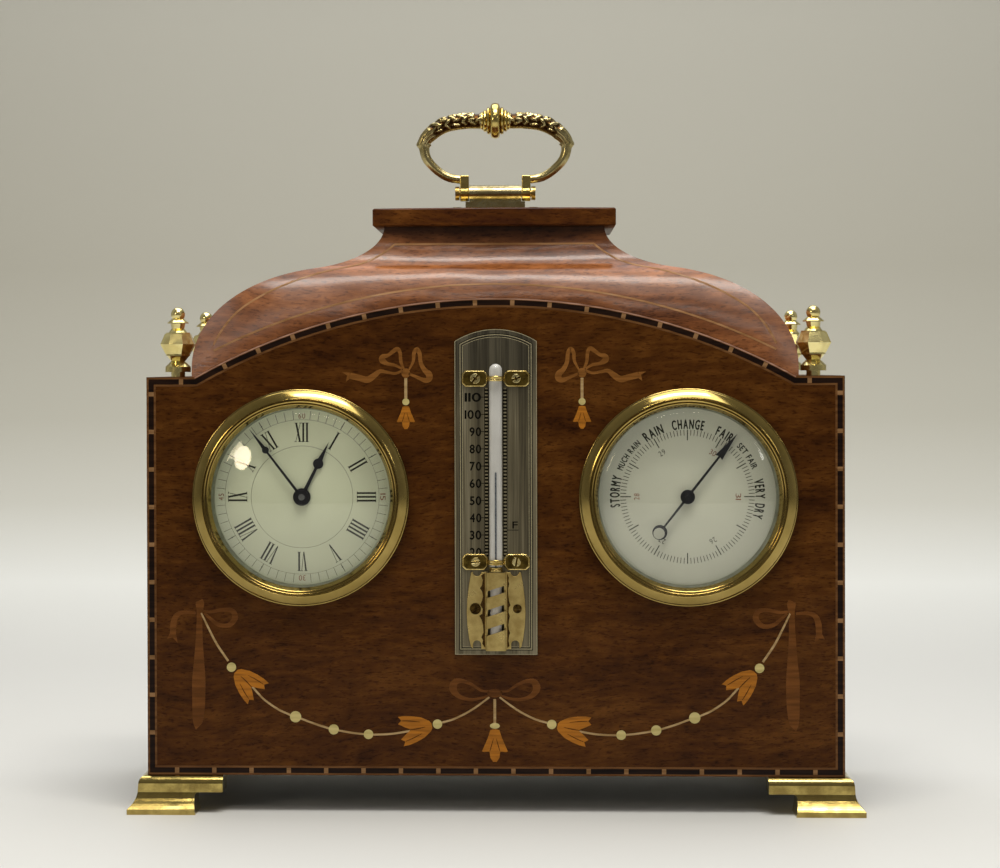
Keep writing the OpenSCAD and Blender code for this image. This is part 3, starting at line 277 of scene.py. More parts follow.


# The roof's colour is painted darker in its top 7.5 mm, as painted shade under the top board, and lighter
# where it looks up, as painted light
shade_depth = 0.0075
mahogany_roof = french_polish("mahogany_roof_veneer", "#4a2712", "#6b3f20", "#875531", gloss=0.17,
                              polish=0.54, uneven=(17.0, 0.005), top_light=1.8,
                              shade_from=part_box("roof")[1][2] - shade_depth, full=24.0)
shoulder_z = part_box("roof")[0][2]
roof_half = (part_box("roof")[1][0], (back_y - front_y) / 2)
neck_half = (0.0416, 0.0365)
neck_inset = 71.4
roof_behind = 0.00002
roof_round = [(0, 3), (0, 22.8), (18.9, 37.2), (45.7, 41)]
roof_hollow = [(45.7, 41), (59.9, 43), (neck_inset, 48.9), (neck_inset, 56.8)]
roof_line = [(0.0, 0.0)] + [curve_point(roof_round, i / 30) for i in range(31)] + \
            [curve_point(roof_hollow, i / 24) for i in range(1, 25)]


def roof_place(inset, rise):
    share = inset / neck_inset
    return (roof_half[0] + (neck_half[0] - roof_half[0]) * share,
            roof_half[1] + (neck_half[1] - roof_half[1]) * share, shoulder_z + rise * MM)


rings = []
for inset, rise in roof_line:
    x, y, z = roof_place(inset, rise)
    y -= roof_behind
    rings.append([(-x, case_y - y, z), (x, case_y - y, z), (x, case_y + y, z), (-x, case_y + y, z)])
placed(loft("roof_veneer", rings, mahogany_roof, sharp=30), "case", "mahogany_roof", "roof")

# Top board: a solid mahogany board over the roof's neck, glued down flat. Its front and back
# edges are bowed, and its arrises are rubbed round by half a millimetre.
top_half = (0.046, 0.037)
bow = 0.004
board_foot, board_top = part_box("top_board")[0][2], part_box("top_board")[1][2]
rings = []
for z, pull in ((board_foot, 0.0005), (board_foot + 0.0004, 0.0), (board_top - 0.0005, 0.0),
                (board_top, 0.0006)):
    ring = []
    for side in (-1, 1):
        for i in range(25):
            t = -1 + i / 12 if side < 0 else 1 - i / 12
            ring.append((t * (top_half[0] - pull),
                         case_y + side * (top_half[1] + bow * (1 - t * t) - pull), z))
    rings.append(ring)
mahogany_board = french_polish("mahogany_top_board", "#35190a", "#4c290c", "#6b4119", polish=0.2)
placed(loft("top_board_bowed", rings, mahogany_board, sharp=50), "case", "mahogany_roof", "top_board")


# Inlay of the front: boxwood cords and beads, satinwood bell flowers and walnut ribbons let
# into the panel, inside a stringing of ebony blocks between two boxwood lines. Each piece is
# a sheet of veneer glued in flush and polished over. Points are millimetres on the front.
def smooth(points, steps=8):
    ends = [points[0]] + list(points) + [points[-1]]
    line = []
    for a, b, c, d in zip(ends, ends[1:], ends[2:], ends[3:]):
        for i in range(steps):
            t = i / steps
            line.append(tuple(0.5 * (2 * q + (r - p) * t + (2 * p - 5 * q + 4 * r - s) * t * t
                                     + (3 * q - p - 3 * r + s) * t ** 3) for p, q, r, s in zip(a, b, c, d)))
    return line + [tuple(points[-1])]


def stroke(points, steps=8):
    line = smooth(points, steps)
    left, right = [], []
    for i, (x, z, width) in enumerate(line):
        before, after = line[max(i - 1, 0)], line[min(i + 1, len(line) - 1)]
        dx, dz = after[0] - before[0], after[1] - before[1]
        length = math.hypot(dx, dz)
        left.append((x - dz / length * width / 2, z + dx / length * width / 2))
        right.append((x + dz / length * width / 2, z - dx / length * width / 2))
    return left, right


def rect(x0, z0, x1, z1):
    return [(x0, z0), (x1, z0), (x1, z1), (x0, z1)]


def disc(x, z, radius, wide=1.0, count=32):
    turns = [2 * math.pi * i / count for i in range(count)]
    return [(x + radius * wide * math.cos(a), z + radius * math.sin(a)) for a in turns]


def moved(outline, x, z, turn=0.0, scale=1.0, side=1):
    c, s = math.cos(turn), math.sin(turn)

    def corner(p):
        return side * (x + scale * (p[0] * c - p[1] * s)), z + scale * (p[0] * s + p[1] * c)
    if isinstance(outline, tuple):
        return tuple([corner(p) for p in edge] for edge in outline)
    return [corner(p) for p in outline]


def both_sides(outline):
    return [moved(outline, 0, 0, side=side) for side in (-1, 1)]


def plates(name, shapes, level, finish, thick=0.05, middle=(0.0, 0.0)):
    # A list is a flat outline; a tuple of two lines is the strip between them
    solid = bmesh.new()

    def corner(p, height):
        return solid.verts.new(((middle[0] + p[0]) * MM, front_y - height * MM, (middle[1] + p[1]) * MM))
    for shape in shapes:
        if isinstance(shape, tuple):
            rows = [[corner(p, level), corner(p, level + thick), corner(q, level + thick), corner(q, level)]
                    for p, q in zip(*shape)]
            for a, b in zip(rows, rows[1:]):
                for i in range(4):
                    solid.faces.new((a[i], a[(i + 1) % 4], b[(i + 1) % 4], b[i]))
            if math.dist(shape[0][0], shape[0][-1]) > 0.001:
                solid.faces.new(rows[0])
                solid.faces.new(rows[-1])
        else:
            low = [corner(p, level) for p in shape]
            high = [corner(p, level + thick) for p in shape]
            solid.faces.new(low)
            solid.faces.new(high)
            for i, a in enumerate(low):
                j = (i + 1) % len(low)
                solid.faces.new((a, low[j], high[j], high[i]))
    bmesh.ops.remove_doubles(solid, verts=solid.verts, dist=1e-8)
    bmesh.ops.recalc_face_normals(solid, faces=solid.faces)
    mesh = bpy.data.meshes.new(name)
    solid.to_mesh(mesh)
    solid.free()
    return new_object(name, mesh, finish)


def veneer(name, dark, light):
    # The grain lies level. Its fibres are 17 mm long and drawn 1.4 mm wide, coarser than real, to show
    made, tree = new_material(name)
    place = add(tree, "TexCoord").outputs["Object"]
    pulled = add(tree, "Mapping", {"Scale": (60.0, 60.0, 700.0)}, {"Vector": place})
    fibre = add(tree, "TexNoise", {"Scale": 1.0, "Detail": 4.0}, {"Vector": pulled})
    tone = add(tree, "ValToRGB", {"stops": [(0.36, dark), (0.64, light)]}, {"Fac": fibre})
    relief = add(tree, "Bump", {"Strength": 0.1, "Distance": 0.0001}, {"Height": fibre})
    polished = {"Coat Weight": 0.1, "Coat Roughness": 0.1, "Roughness": 0.45, "Specular IOR Level": 0.02}
    surface(tree, add(tree, "BsdfPrincipled", polished, {"Base Color": tone, "Normal": relief}))
    return made


# The stringing follows the panel's edge: up the sides, along the shoulders and over the arch
proud = 0.02
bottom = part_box("front_panel")[0][2] / MM
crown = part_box("front_panel")[1][2] / MM
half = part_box("front_panel")[1][0] / MM
shoulder = shoulder_z / MM
shoulder_w = 18.0
arch_chord = half - shoulder_w
arch_r = (arch_chord ** 2 + (crown - shoulder) ** 2) / (2 * (crown - shoulder))
arch_z = crown - arch_r


def on_arch(inset, turn):
    return (arch_r - inset) * math.sin(turn), arch_z + (arch_r - inset) * math.cos(turn)


def border(inset, count=60):
    kink = math.sqrt((arch_r - inset) ** 2 - (shoulder - inset - arch_z) ** 2)
    reach = math.asin(kink / (arch_r - inset))
    arch = [on_arch(inset, reach * (2 * i / count - 1)) for i in range(count + 1)]
    side = half - inset
    return [(-side, bottom + inset), (-side, shoulder - inset)] + arch + \
           [(side, shoulder - inset), (side, bottom + inset), (-side, bottom + inset)]


line_in, block_in, inner_in, band_in = 0.15, 0.8, 2.75, 3.5
arris_in, arris_out = 0.1, 0.6
tick_pitch, side_tick_pitch = 14.0, 14.08
side_tick_rise, shoulder_tick = 15.9, 117
tick_half = 0.8
ticks = []
for k in range(9):
    x = tick_pitch * (k + 0.5)
    ticks += both_sides(rect(x - tick_half, bottom + block_in, x + tick_half, bottom + inner_in))
for k in range(10):
    z = bottom + side_tick_rise + side_tick_pitch * k
    ticks += both_sides(rect(half - block_in, z - tick_half, half - inner_in, z + tick_half))
for k in range(8):
    turn, wide = tick_pitch * (k + 0.5) / arch_r, tick_half / arch_r
    ticks += both_sides([on_arch(inset, turn + w) for inset, w in (
        (block_in, -wide), (block_in, wide), (inner_in, wide), (inner_in, -wide))])
ticks += both_sides(rect(shoulder_tick - tick_half, shoulder - block_in,
                         shoulder_tick + tick_half, shoulder - inner_in))
arch_only = slice(2, 63)
for name, shapes, lift, finish in (
        ("edge_blocks", [(border(block_in), border(inner_in))], 0.0,
         veneer("ebony_blocks", "#120b08", "#21140d")),
        ("edge_lines", [(border(line_in), border(block_in)), (border(inner_in), border(band_in))], 0.0,
         veneer("boxwood_edge_stringing", "#4f321a", "#674628")),
        ("edge_ticks", ticks, 0.01, veneer("boxwood_edge_ticks", "#6a4d2f", "#856444")),
        # The arch's outer line is boxwood painted lighter, a painted highlight where its arris catches the
        # light from above
        ("edge_arris_painted_highlight", [(border(arris_in)[arch_only], border(arris_out)[arch_only])], 0.02,
         veneer("boxwood_arris_painted_highlight", "#7d5a48", "#a5806c"))):
    placed(plates(name, shapes, proud + lift, finish), "case", "mahogany_front")

# A side flower has four petal tips in two pairs; a hanging one has three. Both lie along +X
# of their own outline, with the base at zero, and are mirrored about that line.
side_half = [(0.0, 0.9), (0.7, 2.0), (3.4, 3.8), (6.6, 4.9), (9.5, 5.5), (11.8, 5.6), (10.9, 4.0),
             (12.3, 2.9), (10.2, 1.4), (8.2, 0.15)]
bell_half = [(0.0, 0.6), (0.3, 1.7), (3.4, 2.7), (8.2, 4.8), (8.5, 4.2), (8.3, 2.1), (8.9, 1.9), (10.6, 1.7),
             (12.1, 0.7)]
side_flower, bell_flower = [petals + [(x, -z) for x, z in reversed(petals)]
                            for petals in (side_half, bell_half)]
side_veins = [stroke([(2.5, 0, 0.2), (5.5, 0.1, 0.4), (8.2, 0, 0.25)])] + \
             [stroke([(4.2, 2.2 * s, 0.15), (7.5, 3.2 * s, 0.35), (10.6, 3.9 * s, 0.2)]) for s in (1, -1)]
bell_veins = [stroke([(3.4, 0.5 * s, 0.15), (6.2, 1.3 * s, 0.35), (8.2, 1.9 * s, 0.2)]) for s in (1, -1)]
down = -math.pi / 2
small_bell = 0.71
bell_drop, low_bell_drop = 12.3, 13.5
cord_thin = 0.75
swallow_tail = [(-20.9, 0.25), (-23.8, 0.4), (-21.9, -0.8), (-22.4, -3.2), (-20.9, -2.0)]
top_knot, centre_knot, low_knot = (-32.8, 164.8), (0.1, 45.4), (-110.2, 78.6)
cords, beads, flowers, veins, ribbons, low_ribbons = [], [], [], [], [], []
for side in (1, -1):
    # Upper bow: a heart loop, an upright loop and a trailing swallow tail, over a hanging bell
    x, z = top_knot
    ribbons += [moved(stroke(points), x, z, side=side) for points in (
        [(-0.8, 1.6, 0.8), (-1.8, 4.3, 1.2), (-2.1, 7.6, 1.3), (-3.1, 9.0, 1.6), (-4.7, 8.1, 1.5),
         (-6.6, 6.7, 1.3), (-8.5, 6.1, 2.0), (-8.7, 4.8, 2.4), (-6.8, 3.5, 1.4), (-3.9, 2.9, 1.1),
         (-1.4, 1.6, 0.8)],
        [(1.2, 1.2, 0.6), (2.8, 4.4, 1.1), (3.1, 7.4, 1.4), (4.2, 8.8, 1.7), (5.2, 7.2, 1.5), (5.6, 3.9, 1.5),
         (6.9, 1.3, 1.8), (8.6, -0.4, 2.4), (8.7, -2.0, 2.4), (7.4, -2.7, 1.9), (5.0, -1.9, 1.3),
         (1.2, -0.2, 0.9)],
        [(-1.2, 0.9, 1.0), (-3.9, -0.1, 1.0), (-6.8, 0.3, 1.1), (-9.6, 0.7, 1.5), (-11.8, -0.9, 2.2),
         (-14.3, -2.4, 2.4), (-17.5, -1.7, 2.3), (-20.9, -0.9, 2.3)])]
    ribbons += [moved(outline, x, z, side=side) for outline in (swallow_tail, disc(0, 0, 1.8, 0.9))]
    cords.append(moved(stroke([(0, -1.9, 1.1), (0, -9.4, 1.1)], 1), x, z, side=side))
    beads.append(moved(disc(0, -10.7, 1.3), x, z, side=side))
    flowers.append(moved(bell_flower, x, z - bell_drop, down, small_bell, side))
    veins += [moved(v, x, z - bell_drop, down, small_bell, side) for v in bell_veins]
    # Side bow at the low corner: a loop, a curled tail and a long hanging ribbon
    x, z = low_knot
    low_ribbons += [moved(stroke(points), x, z, side=side) for points in (
        [(-0.4, 1.2, 2.6), (0, 0, 3.2), (-0.1, -3.8, 2.2), (-0.3, -12.9, 2.6), (-0.4, -21.9, 3.9),
         (-0.5, -28.6, 5.0), (-0.6, -37.7, 4.8), (-0.9, -43.0, 4.0)],
        [(1.2, -2.6, 0.9), (4.2, -3.0, 1.2), (8.2, -2.2, 1.3), (12.0, -2.5, 1.8), (13.2, -4.9, 2.2),
         (11.9, -7.2, 2.0), (9.8, -8.2, 1.7), (6.6, -7.6, 1.5), (4.0, -5.6, 1.2), (1.5, -3.3, 0.9)],
        [(-1.6, -3.4, 1.0), (-6.0, -3.2, 1.3), (-8.7, -4.3, 1.9), (-9.9, -7.0, 2.3), (-10.2, -11.0, 2.3)])]
    low_ribbons += [moved(tail, x, z, side=side) for tail in (
        [(-2.9, -43.0), (1.1, -43.0), (0.7, -44.8), (-1.7, -47.2), (-2.5, -45.2)],
        [(-9.05, -11.0), (-11.35, -11.0), (-12.4, -13.0), (-10.3, -12.6), (-8.4, -14.6)])]
    # Half of the garland: cords between the beads, and two flowers that point along it
    cords += [moved(stroke([(a, b, cord_thin * w) for a, b, w in points]), 0, 0, side=side) for points in (
        [(-109.7, 75.2, 0.8), (-107.0, 69.6, 1.0), (-103.9, 63.6, 1.1), (-99.6, 57.2, 1.1)],
        [(-90.6, 47.6, 1.0), (-88.4, 45.1, 1.0), (-85.9, 42.6, 1.0), (-81.0, 39.2, 1.0), (-76.2, 37.0, 1.0)],
        [(-72.6, 35.8, 1.0), (-67.0, 33.7, 1.0), (-61.9, 32.1, 1.0)],
        [(-58.3, 31.3, 1.0), (-53.0, 30.4, 1.0), (-48.9, 30.0, 1.0)],
        [(-45.3, 29.8, 1.0), (-38.4, 30.1, 1.0), (-31.6, 31.2, 1.0)],
        [(-19.6, 34.4, 1.0), (-14.7, 35.9, 1.0), (-8.4, 39.2, 1.0), (-1.9, 43.9, 0.9)])]
    beads += [moved(disc(*bead), 0, 0, side=side) for bead in (
        (-98.4, 54.9, 1.75), (-74.4, 36.4, 2.1), (-60.1, 31.7, 1.9), (-47.1, 29.9, 1.8), (-21.3, 33.8, 1.75))]
    for x, z, turn in ((-96.7, 53.3, -math.pi / 4), (-23.4, 33.2, math.radians(191))):
        flowers.append(moved(side_flower, x, z, turn, side=side))
        veins += [moved(v, x, z, turn, side=side) for v in side_veins]
    # Half of the middle bow
    x, z = centre_knot
    low_ribbons.append(moved(stroke([
        (-2.2, 0.6, 0.9), (-5.1, 1.0, 0.9), (-8.5, 3.2, 1.1), (-12.0, 4.5, 1.5), (-14.6, 4.2, 2.3),
        (-15.6, 2.2, 2.9), (-14.9, 0.2, 2.3), (-12.6, -1.6, 1.5), (-9.1, -2.4, 1.2), (-5.7, -2.0, 1.0),
        (-2.3, -1.0, 0.9)]), side * x, z, side=side))
# The middle bow's knot, with a cord, a bead and the lowest bell under it
low_ribbons.append(moved(disc(0, 0, 1.6, 1.75), x, z))
cords.append(moved(stroke([(0, -2.2, 1.0), (0, -11.2, 1.0)], 1), x, z))
beads.append(moved(disc(0, -12.2, 1.05, 1.75), x, z))
flowers.append(moved(bell_flower, x, z - low_bell_drop, down))
veins += [moved(v, x, z - low_bell_drop, down) for v in bell_veins]
for layer, (name, shapes, wood, dark, light) in enumerate((
        ("inlay_low_ribbons", low_ribbons, "walnut_ribbon_low", "#4f2e12", "#663e1a"),
        ("inlay_ribbons", ribbons, "walnut_ribbon", "#65401b", "#7d5226"),
        ("inlay_cords", cords, "boxwood_stringing", "#8a6f48", "#a98f66"),
        ("inlay_beads", beads, "boxwood_bead", "#a3965f", "#bbac75"),
        ("inlay_flowers", flowers, "satinwood_shaded", "#80501a", "#a56820"),
        ("inlay_flower_veins", veins, "satinwood_scorched", "#3d1f08", "#532c0d"))):
    placed(plates(name, shapes, proud + 0.01 * layer, veneer(wood, dark, light)), "case", "mahogany_front")


# Roof stringing: a boxwood line 0.7 mm wide let into each face of the roof, beside the hips
# and under the neck. In front and behind, its foot is an arc that runs with the panel's arch.
def roof_inset(rise):
    for (a, low), (b, high) in zip(roof_line, roof_line[1:]):
        if rise <= high:
            return a + (b - a) * (rise - low) / (high - low)
    return roof_line[-1][0]


def roof_spot(turn, along, rise):
    x, y, z = roof_place(roof_inset(rise), rise)
    out = Vector((round(math.sin(turn)), round(-math.cos(turn)), 0)) * (x if round(math.sin(turn)) else y)
    lane = Vector((round(math.cos(turn)), round(math.sin(turn)), 0)) * along * MM
    return Vector((0, case_y, z)) + out + lane


string_w, string_proud = 0.7, 0.06


def roof_strip(turn, path):
    spots = [roof_spot(turn, along, rise) for along, rise in path]
    rows = []
    for i, (along, rise) in enumerate(path):
        lane = (roof_spot(turn, along + 0.1, rise) - roof_spot(turn, along - 0.1, rise)).normalized()
        slope = (roof_spot(turn, along, rise + 0.1) - roof_spot(turn, along, rise - 0.1)).normalized()
        face = lane.cross(slope).normalized()
        run = (spots[min(i + 1, len(spots) - 1)] - spots[max(i - 1, 0)]).normalized()
        side = face.cross(run).normalized() * string_w / 2 * MM
        lift = face * string_proud * MM
        rows.append([spots[i] - side, spots[i] - side + lift, spots[i] + side + lift, spots[i] + side])
    return rows


roof_stringing = veneer("boxwood_roof_line", "#7c5835", "#9a7450")
hip_gaps = [(7, 6.5), (12, 6.9), (18, 7.5), (25, 8.2), (30, 9.6), (38, 11.6), (42, 9.4), (46, 7.4), (50, 7.0)]
wide_face_from = 12
side_share = 0.8
foot_r = 234.0
foot_z = 35.9 + shoulder
for number, turn in enumerate((0.0, math.pi / 2, math.pi, -math.pi / 2)):
    wide = number % 2 == 0
    hips = []
    for rise, gap in smooth(hip_gaps, 6):
        if wide and rise < wide_face_from:
            continue
        half_face = roof_place(roof_inset(rise), rise)[0 if wide else 1] / MM
        hips.append((half_face - (gap if wide else side_share * gap), rise))
    ends = hips[0][0], hips[-1][0]
    foot = [ends[0] * (i / 40 * 2 - 1) for i in range(41)]
    foot = [(a, math.sqrt(foot_r ** 2 - a * a) - foot_z if wide else hips[0][1]) for a in foot]
    head = [(ends[1] * (i / 10 * 2 - 1), hips[-1][1]) for i in range(11)]
    for part, path in (("foot", foot), ("head", head), ("right", hips),
                       ("left", [(-a, rise) for a, rise in hips])):
        placed(loft("roof_line_%s_%d" % (part, number), roof_strip(turn, path), roof_stringing),
               "case", "mahogany_roof")


# Feet and finials: cast and turned yellow brass, polished and handled for a long time. The
# polish mirrors the dark room in front; thin brown tarnish lies in patches of a few millimetres.
def brass(name, bright, dull, gloss=(0.1, 0.24), patch=160.0, spread=(0.42, 0.62), scratch=0.06):
    # A patch scale of 160 is 6 mm. The scratches are 1 mm apart, coarser than real, so that they show
    made, tree = new_material(name)
    place = add(tree, "TexCoord").outputs["Object"]
    cloud = add(tree, "TexNoise", {"Scale": patch, "Detail": 6.0, "Roughness": 0.6}, {"Vector": place})
    tone = add(tree, "ValToRGB", {"stops": [(spread[0], dull), (spread[1], bright)]}, {"Fac": cloud})
    rub = add(tree, "MapRange", {"From Min": 0.35, "From Max": 0.65, "To Min": gloss[1], "To Max": gloss[0]},
              {"Value": cloud})
    fine = add(tree, "TexNoise", {"Scale": 900.0, "Detail": 3.0}, {"Vector": place})
    relief = add(tree, "Bump", {"Strength": scratch, "Distance": 0.00005}, {"Height": fine})
    surface(tree, add(tree, "BsdfPrincipled", {"Metallic": 1.0},
                      {"Base Color": tone, "Roughness": rub, "Normal": relief}))
    return made


corners = ("front_left_", "front_right_", "rear_left_", "rear_right_")
wear(brass("cast_brass_feet", "#bfaa64", "#a18c50", scratch=0.12), *[corner + "foot" for corner in corners])
wear(brass("turned_polished_brass", "#efe1a0", "#dac884"), *[corner + "finial" for corner in corners])
screw_brass = brass("dulled_screw_brass", "#bfa465", "#7d6636", gloss=(0.22, 0.4), patch=600.0)
wear(screw_brass, "foot_screws", "handle_screws")

# Bail handle: one brass casting with tapering arms, a ringed knob and acanthus leaves chased
# over the upper rod. The lugs swing on two screws beside the barrel of a screwed base. The arm's
# points are x, z and the rod's diameter, in millimetres from the pivot.
cast_brass = brass("cast_polished_brass", "#d6c278", "#b9a15c", scratch=0.12)
pivot_high = 0.008
pivot = Vector((0.0, case_y, board_top + pivot_high))
knob_z = 28.4
arm = [(12.1, 5.3, 3.3), (18.0, 6.2, 3.4), (22.6, 8.9, 3.5), (26.6, 13.2, 3.7), (27.9, 17.8, 4.1),
       (27.3, 21.2, 4.9), (23.4, 24.8, 5.9), (18.6, 27.2, 6.2), (12.0, 28.3, 6.3), (5.6, knob_z, 6.3),
       (2.0, knob_z, 6.3)]
# The leaves run from leaf_from to leaf_to along the rod: flutes first, then lobes on a sunk ground
leaf_from, leaf_to = 22.6, 49.2
flutes_to, lobes_from = 6.2, 7.6
tip_rise, tip_spread = 0.75, 0.6
flute_rise, flute_sink = 0.34, 0.14
lobe_rise, lobe_sink, lobe_edge = 0.5, 0.22, 1.15
crease_deep, crease_wide = 0.2, 0.16
ground = -0.42
round_rod = 72


def turned(name, profile, finish, middle, axis="Z", count=96, closed=False, sharp=35):
    rings = []
    for r, t in profile:
        ring = []
        for i in range(count):
            a = 2 * math.pi * i / count
            c, s = r * math.cos(a), r * math.sin(a)
            spot = {"X": (t, c, s), "Y": (c, -t, s), "Z": (c, s, t)}[axis]
            ring.append(tuple(m + v * MM for m, v in zip(middle, spot)))
        rings.append(ring)
    return loft(name, rings, finish, closed=closed, sharp=sharp)


# Four rows of curled lobes on each side of the rod: turn from the top, pitch, lean, length, width
lobe_rows = ((0.2, 3.9, 0.15, 1.9, 0.62), (0.85, 3.4, 0.6, 1.6, 0.62),
             (1.42, 3.1, -0.5, 1.45, 0.58), (1.98, 3.6, 0.5, 1.5, 0.52))
lobes = []
for row, (spread, pitch, lean, long, wide) in enumerate(lobe_rows):
    for k in range(9):
        at = leaf_from + lobes_from + pitch * (k + 0.5 * (row % 2)) + 0.45 * math.sin(7.3 * k + 2.1 * row)
        if at < leaf_to - 0.3:
            lobes.append((at, spread + 0.07 * math.sin(5.1 * k + row),
                          lean + 0.35 * math.sin(3.7 * k + 1.3 * row),
                          long * (1 + 0.2 * math.sin(9.1 * k + row)), wide))


def leaf_height(run, turn):
    # Long flutes rise from ragged tips and break up into curled lobes over a sunk, dark ground
    spread = abs(turn)
    if run < leaf_from - 1.5 or run > leaf_to:
        return 0.0
    tip = math.exp(-((run - leaf_from - 0.6) / 0.8) ** 2)
    above, below = [math.exp(-(a / tip_spread) ** 2) for a in (spread, math.pi - spread)]
    lump = tip * (tip_rise * above + tip_rise * below)
    ragged = leaf_from + 1.1 * abs(math.sin(3.1 * spread + 0.4))
    start = min(1.0, max(0.0, (run - ragged) / 0.5))
    flute = flute_rise * abs(math.cos(4.6 * spread - 0.16 * (run - leaf_from))) ** 0.6 - flute_sink
    relief = ground
    for at, level, lean, long, wide in lobes:
        du, dv = run - at, (spread - level) * 3.1
        c, s = math.cos(lean), math.sin(lean)
        reach = ((du * c + dv * s) / long) ** 2 + ((dv * c - du * s) / wide) ** 2
        if reach < lobe_edge:
            across_lobe = (dv * c - du * s - 0.1) / crease_wide
            crease = crease_deep * math.exp(-across_lobe ** 2) * max(0.0, 1 - reach)
            relief = max(relief, lobe_rise * (lobe_edge - reach) ** 0.5 - lobe_sink - crease)
    turnover = min(1.0, max(0.0, (run - leaf_from - flutes_to) / 1.6))
    edge = 1.0 if spread < 2.3 else max(0.0, 1 - (spread - 2.3) / 0.3)
    body = flute * (1 - turnover) + relief * turnover * edge
    ending = min(1.0, (leaf_to - run) / 0.8)
    return lump + start * ending * body


line = smooth(arm, 26)
rod_rings, recess = [], []
run = 0.0
for i, (x, z, d) in enumerate(line):
    before, after = line[max(i - 1, 0)], line[min(i + 1, len(line) - 1)]
    dx, dz = after[0] - before[0], after[1] - before[1]
    length = math.hypot(dx, dz)
    if i:
        run += math.dist(line[i - 1][:2], (x, z))
    ring = []
    for k in range(round_rod):
        turn = 2 * math.pi * k / round_rod
        turn = turn if turn <= math.pi else turn - 2 * math.pi
        height = leaf_height(run, turn)
        r = d / 2 + height
        # Dirt has stayed in the sunk ground, and the rod's front and back sides are painted darker as painted
        # shade
        side_shade = 0.3 if 0.95 < abs(turn) < 2.5 and leaf_from + 1 < run < leaf_to else 0.0
        recess.append(min(1.0, side_shade + max(0.0, (0.02 - height) / 0.28)))
        out, aside = r * math.cos(turn), r * math.sin(turn)
        ring.append((x + out * dz / length, aside, z - out * dx / length))
    rod_rings.append(ring)
cast_leaf = brass("cast_brass_chased", "#cfc08c", "#aa9a66", gloss=(0.16, 0.3), patch=260.0)
tree = cast_leaf.node_tree
metal = next(n for n in tree.nodes if n.type == "BSDF_PRINCIPLED")
# The recess attribute darkens the brass: dirt in the sunk ground and painted shade along the rod's front and
# back sides
dirt_and_shade_mask = add(tree, "Attribute", {"attribute_name": "recess"})
soiled_and_shaded = add(tree, "MixRGB", {"Color2": "#3a2610"},
             {0: dirt_and_shade_mask.outputs["Fac"], "Color1": metal.inputs["Base Color"].links[0].from_socket})
tree.links.new(soiled_and_shaded.outputs[0], metal.inputs["Base Color"])


def from_pivot(x, y, z):
    return pivot.x + x * MM, pivot.y + y * MM, pivot.z + z * MM


for side, name in ((1, "right"), (-1, "left")):
    rings = [[from_pivot(side * x, y, z) for x, y, z in ring] for ring in rod_rings]
    rod = loft("handle_arm_" + name, rings, cast_leaf, sharp=60)
    if len(rod.data.vertices) == len(recess):
        rod.data.attributes.new("recess", "FLOAT", "POINT").data.foreach_set("value", recess)
    placed(rod, "handle", "cast_brass", "handle")
knob_profile = [(0, -5.7), (3.2, -5.7), (3.5, -5.4), (3.5, -5.0), (3.35, -4.85), (3.9, -4.7), (4.3, -4.3),
                (4.3, -3.8), (4.0, -3.45), (4.8, -3.35), (5.3, -3.0), (5.4, -2.5), (5.1, -2.1), (4.7, -1.95),
                (5.9, -1.8), (6.5, -1.55), (6.88, -1.0), (7.0, -0.35)]
knob_profile += [(r, -t) for r, t in reversed(knob_profile)]
knob = turned("handle_knob", knob_profile, cast_brass, pivot + Vector((0, 0, knob_z * MM)), "X", 64)
placed(knob, "handle", "cast_brass", "handle")


def bevelled(piece, width, steps=2):
    soften = piece.modifiers.new("soft_edges", "BEVEL")
    soften.width = width * MM
    soften.segments = steps
    soften.limit_method = "ANGLE"
    soften.angle_limit = math.radians(40)
    return piece


# Each lug is an upright plate, round below about its screw hole and square above under the rod
lug_r, lug_half_w, lug_top, eye_hole = 3.1, 2.6, 6.9, 1.5
lug_inner, lug_outer = 10.35, 13.8
corner_turns = [math.atan2(lug_top, s * lug_half_w) for s in (1, -1)]
lug, hole = [], []
for a in sorted(corner_turns + [2 * math.pi * i / 64 - math.pi for i in range(64)]):
    c, s = math.cos(a), math.sin(a)
    reach = lug_r if s <= 0 else max(lug_r, min(lug_half_w / max(abs(c), 1e-6), lug_top / s))
    lug.append((reach * c, reach * s))
    hole.append((eye_hole * c, eye_hole * s))
for side, name in ((1, "right"), (-1, "left")):
    rings = [[from_pivot(side * x, y, z) for y, z in outline]
             for x, outline in ((lug_inner, lug), (lug_outer, lug), (lug_outer, hole), (lug_inner, hole))]
    eye = loft("handle_lug_" + name, rings, cast_brass, closed=True, sharp=30)
    placed(bevelled(eye, 0.3, 3), "handle", "cast_brass", "handle")
wear(brass("handle_base_brass", "#b3a67c", "#8a7c55", gloss=(0.2, 0.36), patch=220.0), "handle_base")

